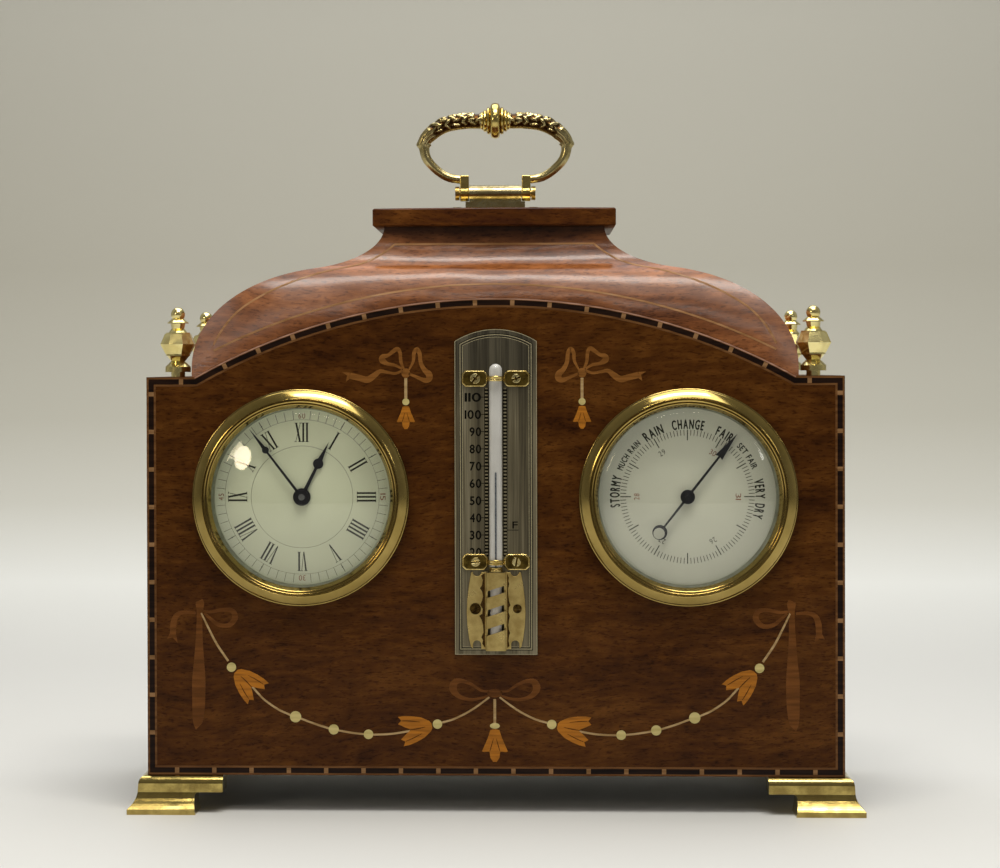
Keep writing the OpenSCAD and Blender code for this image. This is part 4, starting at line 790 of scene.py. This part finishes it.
# Bezels, glasses and sight rings: each dial has a spun brass bezel with an edge bead, a broad
# round ring and two fine rings, a domed glass under its lip, and a sloping silvered ring inside.
# Points are radius and height in front of the panel, in millimetres.
bezel_brass = brass("spun_polished_brass", "#a48e53", "#937e46", gloss=(0.1, 0.17), patch=60.0, scratch=0.03)
bezel_line = [(40.5, 0.0), (40.5, 3.2), (40.42, 3.55), (40.15, 3.75), (39.95, 3.75), (39.88, 3.85),
              (39.4, 4.3), (38.9, 4.71), (38.4, 5.07), (37.9, 5.4), (37.4, 5.69), (36.9, 5.95),
              (36.65, 6.0), (36.48, 5.85), (36.38, 5.45), (36.25, 5.45), (36.15, 5.85), (35.9, 6.1),
              (35.6, 6.05), (35.42, 5.8), (35.36, 5.35), (35.24, 5.35), (35.14, 5.7), (34.92, 5.88),
              (34.66, 5.8), (34.48, 5.5), (34.2, 4.9), (33.8, 4.1), (33.45, 3.25), (34.75, 3.25),
              (34.8, -5.5), (35.9, -5.5), (35.9, 0.0)]
dome_r, dome_rise, glass_t = 90.0, 9.0, 1.4


def dome(r, inner):
    radius = dome_r - inner
    return dome_rise - inner - radius + math.sqrt(radius ** 2 - r ** 2)


glass_line = [(r, dome(r, 0)) for r in (0, 4, 8, 12, 16, 19, 22, 24, 26, 28, 30, 31.5, 32.6)] + \
             [(32.95, 2.5), (34.35, 2.45), (34.4, 2.4), (34.4, 1.85), (31.9, 1.82), (31.6, 1.85)] + \
             [(r, dome(r, glass_t)) for r in (30.6, 28.5, 26, 24, 22, 19, 16, 12, 8, 4, 0)]


def clear(name, tint, rough):
    # Reflection rises from 3.5 % face on to all of it at the edge, the same from both sides
    made, tree = new_material(name)
    slant = add(tree, "LayerWeight", {"Blend": 0.5}).outputs["Facing"]
    steep = add(tree, "Math", {"operation": "POWER", 1: 5.0}, {0: slant})
    mirror = add(tree, "MapRange", {"To Min": 0.035, "To Max": 1.0}, {"Value": steep})
    through = add(tree, "BsdfTransparent", {"Color": tint})
    shine = add(tree, "BsdfGlossy", {"Roughness": rough, "Color": "#ffffff"})
    surface(tree, add(tree, "MixShader", links={0: mirror, 1: through, 2: shine}))
    return made


clear_glass = clear("clear_domed_glass", "#fafaf7", 0.012)
silvered_ring = brass("silvered_sight_ring", "#a8aca0", "#8f9388", gloss=(0.3, 0.42), patch=200.0)
dial_middles = {}
for dial in ("clock", "barometer"):
    low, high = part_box(dial + "_bezel")
    middle = Vector(((low.x + high.x) / 2, front_y, (low.z + high.z) / 2))
    dial_middles[dial] = (middle.x / MM, middle.z / MM)
    dial_z = middle.z
    ring = turned(dial + "_bezel_spun", bezel_line, bezel_brass, middle, "Y", 192, closed=True, sharp=50)
    placed(ring, "case", "bezel_brass", dial + "_bezel")
    pane = turned(dial + "_glass_dome", glass_line, clear_glass, middle, "Y", 128, sharp=40)
    placed(pane, "case", "dial_glass", dial + "_glass")
    wear(silvered_ring, dial + "_sight_ring")


# Dials: enamelled plates printed in black, with a few figures in red. The clock has Roman
# hours, a minute track and an inner circle; the barometer has inches, ticks and weather words.
def enamel(name, middle, edge, low, high, top):
    # The colour is painted lighter towards the top, as painted light for the light that the bezel keeps off
    # the upper dial and for the glass's reflection.
    # The haze is 40 mm wide and the orange peel of the fired glaze 3 mm
    made, tree = new_material(name)
    place = add(tree, "TexCoord").outputs["Object"]
    haze = add(tree, "TexNoise", {"Scale": 25.0, "Detail": 3.0}, {"Vector": place})
    tone = add(tree, "ValToRGB", {"stops": [(0.35, edge), (0.65, middle)]}, {"Fac": haze})
    axes = add(tree, "SeparateXYZ", links={0: place})
    painted_light_upward = add(tree, "MapRange", {"From Min": low, "From Max": high, "To Min": 1.0, "To Max": top},
                {"Value": axes.outputs["Z"]})
    tone = add(tree, "HueSaturation", links={"Value": painted_light_upward, "Color": tone})
    orange_peel = add(tree, "TexNoise", {"Scale": 350.0, "Detail": 2.0}, {"Vector": place})
    relief = add(tree, "Bump", {"Strength": 0.04, "Distance": 0.0002}, {"Height": orange_peel})
    glaze = {"Roughness": 0.35, "Specular IOR Level": 0.35, "Coat Weight": 0.15, "Coat Roughness": 0.1}
    surface(tree, add(tree, "BsdfPrincipled", glaze, {"Base Color": tone, "Normal": relief}))
    return made


def clouded(name, dark, light, scale, detail, spread, finish, relief=0.0):
    # One colour that shifts a little in soft clouds, each 1000 / scale millimetres wide
    made, tree = new_material(name)
    place = add(tree, "TexCoord").outputs["Object"]
    cloud = add(tree, "TexNoise", {"Scale": scale, "Detail": detail}, {"Vector": place})
    tone = add(tree, "ValToRGB", {"stops": [(spread[0], dark), (spread[1], light)]}, {"Fac": cloud})
    links = {"Base Color": tone}
    if relief:
        links["Normal"] = add(tree, "Bump", {"Strength": relief, "Distance": 0.00005}, {"Height": cloud})
    surface(tree, add(tree, "BsdfPrincipled", finish, links))
    return made


def ink(name, dark, light):
    return clouded(name, dark, light, 1800.0, 2.0, (0.35, 0.7),
                   {"Roughness": 0.5, "Specular IOR Level": 0.05})


wear(enamel("clock_dial_enamel", "#c4c9b5", "#b9beaa", dial_z - 0.016, dial_z + 0.02, 1.5), "clock_dial")
wear(enamel("barometer_dial_enamel", "#cdcfc4", "#c2c4ba", dial_z - 0.005, dial_z + 0.034, 1.2),
     "barometer_dial")
dial_black = ink("dial_black_print", "#16170f", "#33342a")
dial_grey = ink("dial_fine_black_print", "#3a3b31", "#5a5b4c")
dial_red = ink("dial_red_print", "#7c4a38", "#94634e")
cap_height = 0.729
letter_gap, word_gap = 0.17, 0.38
copy_lift = 0.003
glyphs = {}


def glyph(letter):
    # A plain letter of height one, from zero along x, with its width
    if letter not in glyphs:
        curve = bpy.data.curves.new("letter", "FONT")
        curve.body = letter
        shown = bpy.data.objects.new("letter", curve)
        bpy.context.scene.collection.objects.link(shown)
        drawn = bpy.data.meshes.new_from_object(shown.evaluated_get(bpy.context.evaluated_depsgraph_get()))
        spots = [v.co.copy() for v in drawn.vertices]
        faces = [tuple(p.vertices) for p in drawn.polygons]
        bpy.data.objects.remove(shown)
        bpy.data.meshes.remove(drawn)
        left, right = min(v.x for v in spots), max(v.x for v in spots)
        glyphs[letter] = ([((v.x - left) / cap_height, v.y / cap_height) for v in spots], faces,
                          (right - left) / cap_height)
    return glyphs[letter]


def lettered(name, words, level, finish, middle):
    # Each word fills its length. A bold letter is printed five times, a little to each side
    spots, faces = [], []
    for word, height, bold, length, place in words:
        drawn = [glyph(letter) if letter != " " else None for letter in word]
        gap, space = letter_gap * height, word_gap * height
        widths = sum(g[2] for g in drawn if g) * height
        narrow = (length - gap * (len(word) - 1) - space * word.count(" ")) / widths
        at = -length / 2
        for g in drawn:
            if not g:
                at += space
                continue
            for copy, (du, dv) in enumerate(((0, 0), (1, 0), (-1, 0), (0, 1), (0, -1))[:5 if bold else 1]):
                count = len(spots)
                for u, v in g[0]:
                    x, z = place(at + u * height * narrow + du * bold,
                                 v * (height - 2 * bold) + (1 + dv) * bold)
                    spots.append(((middle[0] + x) * MM, front_y - (level + copy_lift * copy) * MM,
                                  (middle[1] + z) * MM))
                faces += [tuple(count + i for i in face) for face in g[1]]
            at += g[2] * height * narrow + gap
    mesh = bpy.data.meshes.new(name)
    mesh.from_pydata(spots, [], faces)
    return new_object(name, mesh, finish)


# Words on a dial are as long as their arc through half the height of a letter
letter_middle = 1.5


def round_dial(middle_turn, base_r):
    turn = math.radians(middle_turn)

    def bent(u, v):
        a = turn + u / (base_r + letter_middle)
        return (base_r + v) * math.sin(a), (base_r + v) * math.cos(a)
    return bent


def spoke(turn, inner, outer, width):
    return moved(rect(inner, -width / 2, outer, width / 2), 0, 0, math.pi / 2 - math.radians(turn))


def circle_line(radius, width):
    outer, inner = [disc(0, 0, radius + side * width / 2, count=180) for side in (1, -1)]
    return outer + outer[:1], inner + inner[:1]


# Roman hours: each figure has thick and thin bars with hairline serifs, and is drawn upright
numeral_foot, numeral_h = 20.6, 7.2
thick, hair = 0.68, 0.2


def bar(x0, x1, x2, x3, low=0.0, high=numeral_h):
    return [(x0, low), (x1, low), (x3, high), (x2, high)]


def serif(x, level, width=1.25):
    low = min(max(level - hair / 2, 0.0), numeral_h - hair)
    return bar(x - width / 2, x + width / 2, x - width / 2, x + width / 2, low, low + hair)


numeral_shapes = {
    "I": (1.42, [bar(-thick / 2, thick / 2, -thick / 2, thick / 2), serif(0, 0), serif(0, numeral_h)]),
    "V": (2.3, [bar(-0.12, 0.28, -1.05, -0.37), bar(0.06, 0.26, 0.8, 1.0), serif(-0.7, numeral_h),
                serif(0.9, numeral_h, 0.9)]),
    "X": (2.5, [bar(0.38, 1.06, -1.06, -0.38), bar(-1.0, -0.8, 0.8, 1.0), serif(-0.72, numeral_h),
                serif(0.9, numeral_h, 0.9), serif(0.72, 0), serif(-0.9, 0, 0.9)])}
track_in, track_out, dot_r = 28.95, 32.3, 30.35
dot = [(0, -0.45), (0.3, 0), (0, 0.45), (-0.3, 0)]
hours, dots = [], []
for hour, numeral in enumerate(("XII", "I", "II", "III", "IIII", "V", "VI", "VII", "VIII", "IX", "X", "XI")):
    turn = math.radians(30 * hour)
    at = -sum(numeral_shapes[n][0] for n in numeral) / 2
    for letter in numeral:
        advance, shapes = numeral_shapes[letter]
        for shape in shapes:
            hours.append(moved([(u + at + advance / 2, v + numeral_foot) for u, v in shape], 0, 0, -turn))
        at += advance
    if hour % 3:
        dots.append(moved(dot, dot_r * math.sin(turn), dot_r * math.cos(turn), -turn))
# The track's minute lines leave out the quarters, where the red figures stand
track = [circle_line(19.1, 0.12), circle_line(track_in, 0.1)]
track += [spoke(6 * minute, track_in, track_out, 0.16 if minute % 5 else 0.26)
          for minute in range(60) if minute % 15]
ticks = [spoke(3 * k, 22.8 if k % 10 else 21.0, 25.0, 0.25 if k % 10 else 0.38) for k in range(120)]
weather = []
for word, height, base, start, end in (
        ("STORMY", 3.9, 25.2, -98, -73.6), ("MUCH RAIN", 2.5, 26.0, -68, -40.6),
        ("RAIN", 3.9, 25.2, -36, -20), ("CHANGE", 3.9, 25.2, -12, 13), ("FAIR", 3.9, 25.2, 24, 37.5),
        ("SET FAIR", 2.5, 26.0, 44.5, 68), ("VERY DRY", 3.9, 25.2, 76.5, 108.5)):
    weather.append((word, height, 0.032 * height, math.radians(end - start) * (base + letter_middle),
                    round_dial((start + end) / 2, base)))


def small_figures(length, base_r, *words):
    return [(word, 2.1, 0.0, length, round_dial(turn, base_r)) for word, turn in words]


quarters = small_figures(2.6, 29.4, ("60", 0), ("15", 90), ("30", 180), ("45", 270))
black_inches = small_figures(2.5, 17.9, ("26", 150), ("27", -150), ("29", -30))
red_inches = small_figures(2.5, 17.9, ("28", -90), ("30", 30), ("31", 90))
tick_black = ink("barometer_tick_print", "#2b2c24", "#45463b")
print_level = -2.98
for dial, what, shapes, finish in (
        ("clock", "_hours", hours, dial_black), ("clock", "_minute_track", track, dial_grey),
        ("clock", "_hour_dots", dots, dial_black), ("clock", "_quarter_figures", quarters, dial_red),
        ("barometer", "_ticks", ticks, tick_black), ("barometer", "_words", weather, dial_black),
        ("barometer", "_black_inches", black_inches, dial_grey),
        ("barometer", "_red_inches", red_inches, dial_red)):
    if isinstance(shapes[0][0], str):
        piece = lettered(dial + what, shapes, print_level, finish, dial_middles[dial])
    else:
        piece = plates(dial + what, shapes, print_level, finish, 0.02, dial_middles[dial])
    placed(piece, "case", dial + "_dial_face")

# Hands: sheet steel, filed to shape and blued nearly black. The blue is deeper in some patches
# of 4 mm, and the polish under it keeps a soft gloss.
blued_steel = clouded("blued_steel", "#15161c", "#2a2b33", 260.0, 3.0, (0.35, 0.65),
                      {"Metallic": 0.85, "Roughness": 0.3})
wear(blued_steel, "minute_hand", "hour_hand", "barometer_hand")

# Thermometer: a silvered brass plate with engraved and blackened figures, worn down to streaks
# along its length, and a glass tube backed with white enamel that holds the mercury thread.
# The streaks are 4 mm wide and 0.17 m long, with score lines of 0.7 mm over them.
silvered, tree = new_material("silvered_brass_streaked")
place = add(tree, "TexCoord").outputs["Object"]
streaks = []
for scale in ((260.0, 200.0, 6.0), (1500.0, 900.0, 22.0)):
    pulled = add(tree, "Mapping", {"Scale": scale}, {"Vector": place})
    streaks.append(add(tree, "TexNoise", {"Scale": 1.0, "Detail": 5.0, "Roughness": 0.65},
                       {"Vector": pulled}))
streak_colour = add(tree, "ValToRGB", {"stops": [(0.36, "#443d2b"), (0.48, "#665e48"), (0.66, "#857d66")]},
                    {"Fac": streaks[0]})
scored = add(tree, "ValToRGB", {"stops": [(0.4, (0.5, 0.49, 0.45, 1)), (0.55, (1, 1, 1, 1))]},
             {"Fac": streaks[1]})
scratch = add(tree, "Bump", {"Strength": 0.25, "Distance": 0.0001}, {"Height": streaks[1]})
worn = add(tree, "MixRGB", {"blend_type": "MULTIPLY", "Fac": 0.75},
           {"Color1": streak_colour, "Color2": scored})
axes = add(tree, "SeparateXYZ", links={0: place})
tarnish = add(tree, "MapRange", {"From Min": 0.146, "From Max": 0.168, "To Min": 1.0, "To Max": 0.42},
              {"Value": axes.outputs["Z"]})
dimmed = add(tree, "HueSaturation", links={"Value": tarnish, "Color": worn})
surface(tree, add(tree, "BsdfPrincipled", {"Metallic": 0.5, "Roughness": 0.45},
                  {"Base Color": dimmed, "Normal": scratch}))
wear(silvered, "thermometer_plate")

low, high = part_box("thermometer_plate")
plate_x = (low.x + high.x) / 2 / MM
plate_half = (high.x - low.x) / 2 / MM
plate_low, plate_crown = low.z / MM, high.z / MM
plate_rise = 4.5
plate_r = (plate_half ** 2 + plate_rise ** 2) / (2 * plate_rise)
plate_level = (front_y - low.y) / MM
plate_middle = (plate_x, 0.0)


def plate_border(inset):
    side = plate_half - inset
    reach = math.asin(side / (plate_r - inset))
    arch = [((plate_r - inset) * math.sin(a), plate_crown - plate_r + (plate_r - inset) * math.cos(a))
            for a in (reach * (i / 10 - 1) for i in range(21))]
    return [(-side, plate_low + inset)] + arch + [(side, plate_low + inset), (-side, plate_low + inset)]


def flat(x, z):
    return lambda u, v: (x + u, z + v)


# Two ladders beside the tube have a rung each second degree; figures stand each tenth
degree = 0.6412
scale_z = 155.8 - 110 * degree
ladder_foot, ladder_head = 96.8, 159.2
rails, cells = [], []
for x0, x1 in ((-4.15, -2.75), (2.75, 4.15)):
    rails += [rect(x - 0.13, ladder_foot, x + 0.13, ladder_head) for x in (x0, x1)]
    for k in range(9, 59):
        z = scale_z + 2 * degree * k
        if z < ladder_head - 0.2:
            rails.append(rect(x0, z - 0.3, x1, z + 0.3))
            cells.append(rect(x0 + 0.2, z + 0.4, x1 - 0.2, z + 0.88))
figures = []
for value in range(20, 120, 10):
    z = scale_z + degree * value
    rails.append(rect(-5.7, z - 0.12, -4.1, z + 0.12))
    wide = 5.9 if value >= 100 else 4.1
    figures.append((str(value), 3.5, 0.11, wide, flat(-5.55 - wide / 2, z - 1.7)))
rails.append(rect(4.15, 106.2, 8.4, 106.45))
figures.append(("F", 2.8, 0.06, 1.9, flat(7.1, 106.9)))
engraving = ink("engraved_black_wax", "#090806", "#16130d")
painted_edge_highlight = ink("engraved_edge_painted_highlight", "#8f876c", "#a89f80")
bright_cell = ink("engraved_scale_cells", "#766c52", "#8d836a")
engraved = [(plate_border(inset), plate_border(inset + 0.28)) for inset in (1.6, 2.5)]
# The light lines along the plate's edge and just inside each engraved border line are painted highlights,
# where these edges catch the light
highlight_lines = [(plate_border(inset), plate_border(inset + wide))
                for inset, wide in ((0.05, 0.2), (1.95, 0.22), (2.85, 0.16))]
for name, shapes, lift, finish in (("thermometer_engraving", engraved + rails, 0.01, engraving),
                                   ("thermometer_scale_cells", cells, 0.005, bright_cell),
                                   ("thermometer_painted_highlight_lines", highlight_lines, 0.01, painted_edge_highlight)):
    placed(plates(name, shapes, plate_level + lift, finish, 0.02, plate_middle), "case", "silvered_plate")
placed(lettered("thermometer_figures", figures, plate_level + 0.03, engraving, plate_middle),
       "case", "silvered_plate")

# Tube: clear lead glass with a round head, white enamel fused to its back half, a bulb below
# it inside the guard, and a mercury thread that stands at 66 degrees.
tube_foot, tube_head, tube_r = 92.7, 165.8, 2.5
tube_gap = 1.3
tube_y = front_y - (tube_gap + tube_r) * MM
tube_middle = Vector((plate_x * MM, tube_y, 0.0))
cap = [(tube_r * math.cos(a), tube_head + tube_r * math.sin(a))
       for a in (math.pi / 2 * i / 10 for i in range(1, 11))]
tube_line = [(0.0, tube_foot), (tube_r, tube_foot), (tube_r, tube_head)] + cap
lead_glass = clear("clear_lead_glass", "#f8f9f8", 0.03)
tube = turned("thermometer_tube_glass", tube_line, lead_glass, tube_middle, "Z", 48, sharp=50)
placed(tube, "case", "tube_glass", "thermometer_tube")
white_back = clouded("white_enamel_backing", "#b9b6b2", "#cac7c3", 90.0, 2.0, (0.3, 0.7),
                     {"Roughness": 0.3, "Specular IOR Level": 0.5})
back_r, back_cap, back_front = 2.38, 2.35, 0.56
arc = [math.pi * (i / 20) for i in range(21)]
levels = [tube_foot + 0.3, tube_head]
levels += [tube_head + back_cap * math.sin(math.pi / 2 * i / 8) for i in range(1, 9)]
rings = []
for z in levels:
    r = back_r if z <= tube_head else back_r * math.sqrt(max(1e-4, 1 - ((z - tube_head) / back_r) ** 2))
    ring = [(r * math.cos(a), r * math.sin(a)) for a in arc] + \
           [(-r * math.cos(a), -back_front * r * math.sin(a)) for a in arc[1:-1]]
    rings.append([(tube_middle.x + x * MM, tube_y + y * MM, z * MM) for x, y in ring])
placed(loft("thermometer_white_back", rings, white_back, sharp=70), "case", "tube_glass")
bulb_line = [(0.0, 65.4), (0.9, 65.6), (1.6, 66.2), (2.0, 67.0), (2.1, 68.0), (2.1, 89.4), (1.7, 90.3),
             (1.2, 90.8), (0.0, 90.8)]
placed(turned("thermometer_bulb", bulb_line, white_back, tube_middle, "Z", 40, sharp=60),
       "case", "tube_glass")
wear(clouded("mercury", "#a9adb3", "#c7cbd0", 700.0, 1.0, (0.3, 0.7),
             {"Metallic": 1.0, "Roughness": 0.06}), "mercury")
thread_top, thread_half, tip_half = 128.0, 0.33, 0.1
thread_level = tube_gap + tube_r + 1.45
thread = [(-thread_half, tube_foot), (thread_half, tube_foot), (thread_half, thread_top - 0.2),
          (tip_half, thread_top), (-tip_half, thread_top), (-thread_half, thread_top - 0.2)]
thread_dark = ink("mercury_thread_shadow", "#45494f", "#6a6f75")
placed(plates("mercury_thread", [thread], thread_level, thread_dark, 0.25, plate_middle),
       "case", "mercury", "mercury")

# Bulb guard: one piece of pressed sheet brass, with a wing on each side of a ribbed cover that
# has three slanting slots over the bulb. Heights are millimetres above the guard's foot.
clip_brass = brass("worn_sheet_brass", "#dcc684", "#a48b4c", gloss=(0.16, 0.3), patch=330.0,
                   spread=(0.4, 0.58))
clip_face_painted_dark = brass("sheet_brass_painted_reflection", "#6b5827", "#3a2e12", gloss=(0.3, 0.5), patch=260.0,
                     spread=(0.38, 0.6))
guard_brass = brass("guard_sheet_brass", "#c0a96c", "#98804a", gloss=(0.26, 0.4), patch=190.0,
                    spread=(0.28, 0.6))
guard_low, guard_h = 61.9, 29.0
half_turn = [math.pi * i / 12 for i in range(13)]
wing = [(4.0, 0.2), (5.6, 0.1)]
wing += [(7.1 - 1.5 * math.cos(a), 1.9 + 1.5 * math.sin(a)) for a in half_turn]
wing += [(8.6, 0.4), (9.35, 0.9), (10.1, 4.0), (10.7, 9.0), (10.95, 14.0), (10.7, 19.0), (10.1, 24.0),
         (9.3, 28.6), (8.6, 28.9)]
wing += [(7.0 + 1.6 * math.cos(a), 28.9 - 1.6 * math.sin(a)) for a in half_turn] + [(4.0, 28.7)]
wings = [moved(wing, 0, guard_low, side=side) for side in (1, -1)]
placed(bevelled(plates("guard_wings", wings, plate_level, guard_brass, 0.7, plate_middle), 0.2, 2),
       "case", "clip_brass", "bulb_guard")


def on_guard(x, out, rise):
    return (plate_x + x) * MM, front_y - (plate_level + out) * MM, (guard_low + rise) * MM


slot_slant = math.tan(math.radians(18))
slot_rises, slot_high = (7.9, 14.9, 21.9), 2.5
bands = [(None, slot_rises[0] - slot_high / 2)]
bands += [(below + slot_high / 2, above - slot_high / 2) for below, above in zip(slot_rises, slot_rises[1:])]
bands.append((slot_rises[-1] + slot_high / 2, None))
outer, inner, top = 3.75, 3.05, 6.0
section = [(-outer, 3.0), (-outer, top - 0.45), (-outer + 0.45, top), (outer - 0.45, top),
           (outer, top - 0.45), (outer, 3.0), (inner, 3.0), (inner, top - 0.7), (-inner, top - 0.7),
           (-inner, 3.0)]
for number, (foot_end, head_end) in enumerate(bands):
    rings = [[on_guard(x, y, flat if end is None else end + x * slot_slant) for x, y in section]
             for end, flat in ((foot_end, 0.0), (head_end, guard_h))]
    placed(loft("guard_band_%d" % number, rings, guard_brass, sharp=30), "case", "clip_brass", "bulb_guard")
wall = ((inner, 0.0), (outer + 0.5, 0.0), (outer + 0.5, 0.5), (outer, 0.9), (outer, 3.0), (inner, 3.0))
for side, name in ((1, "right"), (-1, "left")):
    rings = [[on_guard(side * x, y, z) for x, y in wall] for z in (0.0, guard_h)]
    placed(loft("guard_wall_" + name, rings, guard_brass, sharp=30), "case", "clip_brass", "bulb_guard")
collar = [(2.3, 90.95), (2.55, 91.1), (2.55, 91.7), (2.2, 92.1), (2.2, 92.6), (0.0, 92.6), (0.0, 90.95)]
placed(turned("guard_collar", collar, clip_brass, tube_middle, "Z", 40), "case", "clip_brass")

# Tube clips: a strap over the tube with a lug on each side, pressed from sheet brass and held
# by small screws. Their edges are worn bright around a face painted dark, a painted reflection of the dark
# room in front.
lug_half, lug_high, cut = 4.8, 3.05, 1.3
lug_x, clip_zs = 7.8, (94.5, 162.7)
lug_shape = [(-lug_half + cut, -lug_high), (lug_half - cut, -lug_high), (lug_half, -lug_high + cut),
             (lug_half, lug_high - cut), (lug_half - cut, lug_high), (-lug_half + cut, lug_high),
             (-lug_half, lug_high - cut), (-lug_half, -lug_high + cut)]
face_shape = [(0.88 * x, 0.83 * z) for x, z in lug_shape]
lugs, lug_faces = [[moved(shape, s * lug_x, z) for z in clip_zs for s in (-1, 1)]
                   for shape in (lug_shape, face_shape)]
placed(bevelled(plates("tube_clip_lugs", lugs, plate_level, clip_brass, 0.8, plate_middle), 0.42, 2),
       "case", "clip_brass", "tube_clips")
placed(plates("tube_clip_faces", lug_faces, plate_level + 0.8, clip_face_painted_dark, 0.03, plate_middle),
       "case", "clip_brass")
strap = [(2.6, -0.95), (3.1, -0.95), (3.3, -0.7), (3.3, -0.3), (3.15, -0.12)]
strap += [(r, -t) for r, t in reversed(strap)]
for number, z in enumerate(clip_zs):
    rings = []
    for a in (math.pi * i / 24 for i in range(25)):
        rings.append([(tube_middle.x + r * math.cos(a) * MM, tube_y - r * math.sin(a) * MM, (z + t) * MM)
                      for r, t in strap])
    ends = [[(x, front_y - plate_level * MM, zz) for x, y, zz in ring] for ring in (rings[0], rings[-1])]
    rings = [ends[0]] + rings + [ends[1]]
    placed(loft("tube_clip_strap_%d" % number, rings, clip_brass, sharp=50),
           "case", "clip_brass", "tube_clips")

# Thermometer screws: small round heads with a slot, tarnished on the guard and rubbed bright on
# the clips. Each is given by its place, radius and the turn of its slot in degrees.
clip_heads = [(-7.6, 94.5, 1.7, 5), (7.6, 94.5, 1.65, 80), (-7.6, 162.7, 1.9, 50), (7.6, 162.7, 1.7, 20)]
guard_heads = [(-7.7, 77.1, 2.1, 30), (7.9, 77.1, 1.65, 0)]
half_head = [math.radians(10 + 8 * i) for i in range(21)]


def slotted(heads):
    # A head is two halves, with the slot between them
    return [moved([(s * r * math.cos(a), s * r * math.sin(a)) for a in half_head], x, z, math.radians(turn))
            for x, z, r, turn in heads for s in (1, -1)]


dark_screw = brass("tarnished_screw_brass", "#57431f", "#271b0b", gloss=(0.32, 0.5), patch=500.0)
screw_bright = brass("small_screw_brass", "#eadba0", "#c8b377", gloss=(0.14, 0.26), patch=400.0)
for name, heads, level, finish, thick, soft in (
        ("clip_screw_heads", clip_heads, 2.05, screw_bright, 0.75, 0.4),
        ("guard_screw_heads", guard_heads, 1.95, dark_screw, 0.7, 0.35)):
    head = plates(name, slotted(heads), level, finish, thick, plate_middle)
    placed(bevelled(head, soft, 3), "case", "screw_brass", "thermometer_screws")
seats = [disc(x, z, r * 0.97, count=24) for x, z, r, turn in clip_heads + guard_heads]
worn_slots = [moved([(0.9 * p, 0.36 * q) for p, q in disc(0, 0, 1.0, count=12)], x, z,
                    math.radians(turn + 90)) for x, z, r, turn in clip_heads[2:]]
for name, shapes, level, thick in (("thermometer_screw_seats", seats, 1.9, 0.25),
                                   ("clip_screw_worn_slots", worn_slots, 2.79, 0.03)):
    placed(plates(name, shapes, level, dark_screw, thick, plate_middle), "case", "screw_brass")
# Dark brown ragged strips lie on the wings along the folds of the guard
ragged = [(4.2, 0.8), (5.2, 2.2), (4.9, 3.4), (5.5, 4.6), (4.7, 6.4), (4.9, 9.2), (5.4, 11.0),
          (6.3, 12.6), (5.2, 13.3), (5.0, 15.1), (5.9, 16.6), (5.3, 18.1), (4.8, 19.9), (5.2, 21.6),
          (6.0, 22.8), (5.3, 23.9), (4.9, 25.8), (5.6, 27.6), (4.2, 28.4)]
dark_strips = [moved(ragged, 0, guard_low, side=-1),
          moved([(4.2 + 0.55 * (x - 4.2), guard_h - z) for x, z in ragged], 0, guard_low)]
dark_strip_ink = ink("dark_brown_strips", "#2b1d0c", "#4a3415")
placed(plates("guard_dark_strips", dark_strips, plate_level + 0.68, dark_strip_ink, 0.05, plate_middle),
       "case", "clip_brass")

# Works and back: the drums are rolled brass, the movement has grained brass plates and wheels
# with polished steel arbors, and the round back door is sheet brass on a leaf hinge.
wear(brass("rolled_drum_brass", "#bd9a52", "#8f7036", gloss=(0.2, 0.36), patch=90.0),
     "clock_drum", "clock_cover", "barometer_case")
wear(brass("lacquered_door_brass", "#bc9c58", "#a98a4b", gloss=(0.2, 0.3), patch=45.0),
     "back_door", "door_hinge")
wear(brass("grained_movement_brass", "#d3b26a", "#b8954d", gloss=(0.2, 0.3), patch=200.0),
     "movement_plates", "movement_pillars", "hour_wheel", "minute_wheel", "mainspring_barrel", "third_wheel",
     "winding_arbor", "balance_platform", "balance_wheel", "hand_bridge")
wear(screw_brass, "adjusting_screw")
for name, dark, light, rough, nodes in (
        ("polished_arbor_steel", "#8c8f94", "#b3b6ba", 0.16,
         ("centre_arbor", "mainspring", "capsule_spring", "rocking_lever")),
        ("corrugated_german_silver", "#9f9c90", "#bfbcb0", 0.24, ("aneroid_capsule",))):
    finish = {"Metallic": 1.0, "Roughness": rough}
    wear(clouded(name, dark, light, 500.0, 4.0, (0.35, 0.65), finish, 0.08), *nodes)
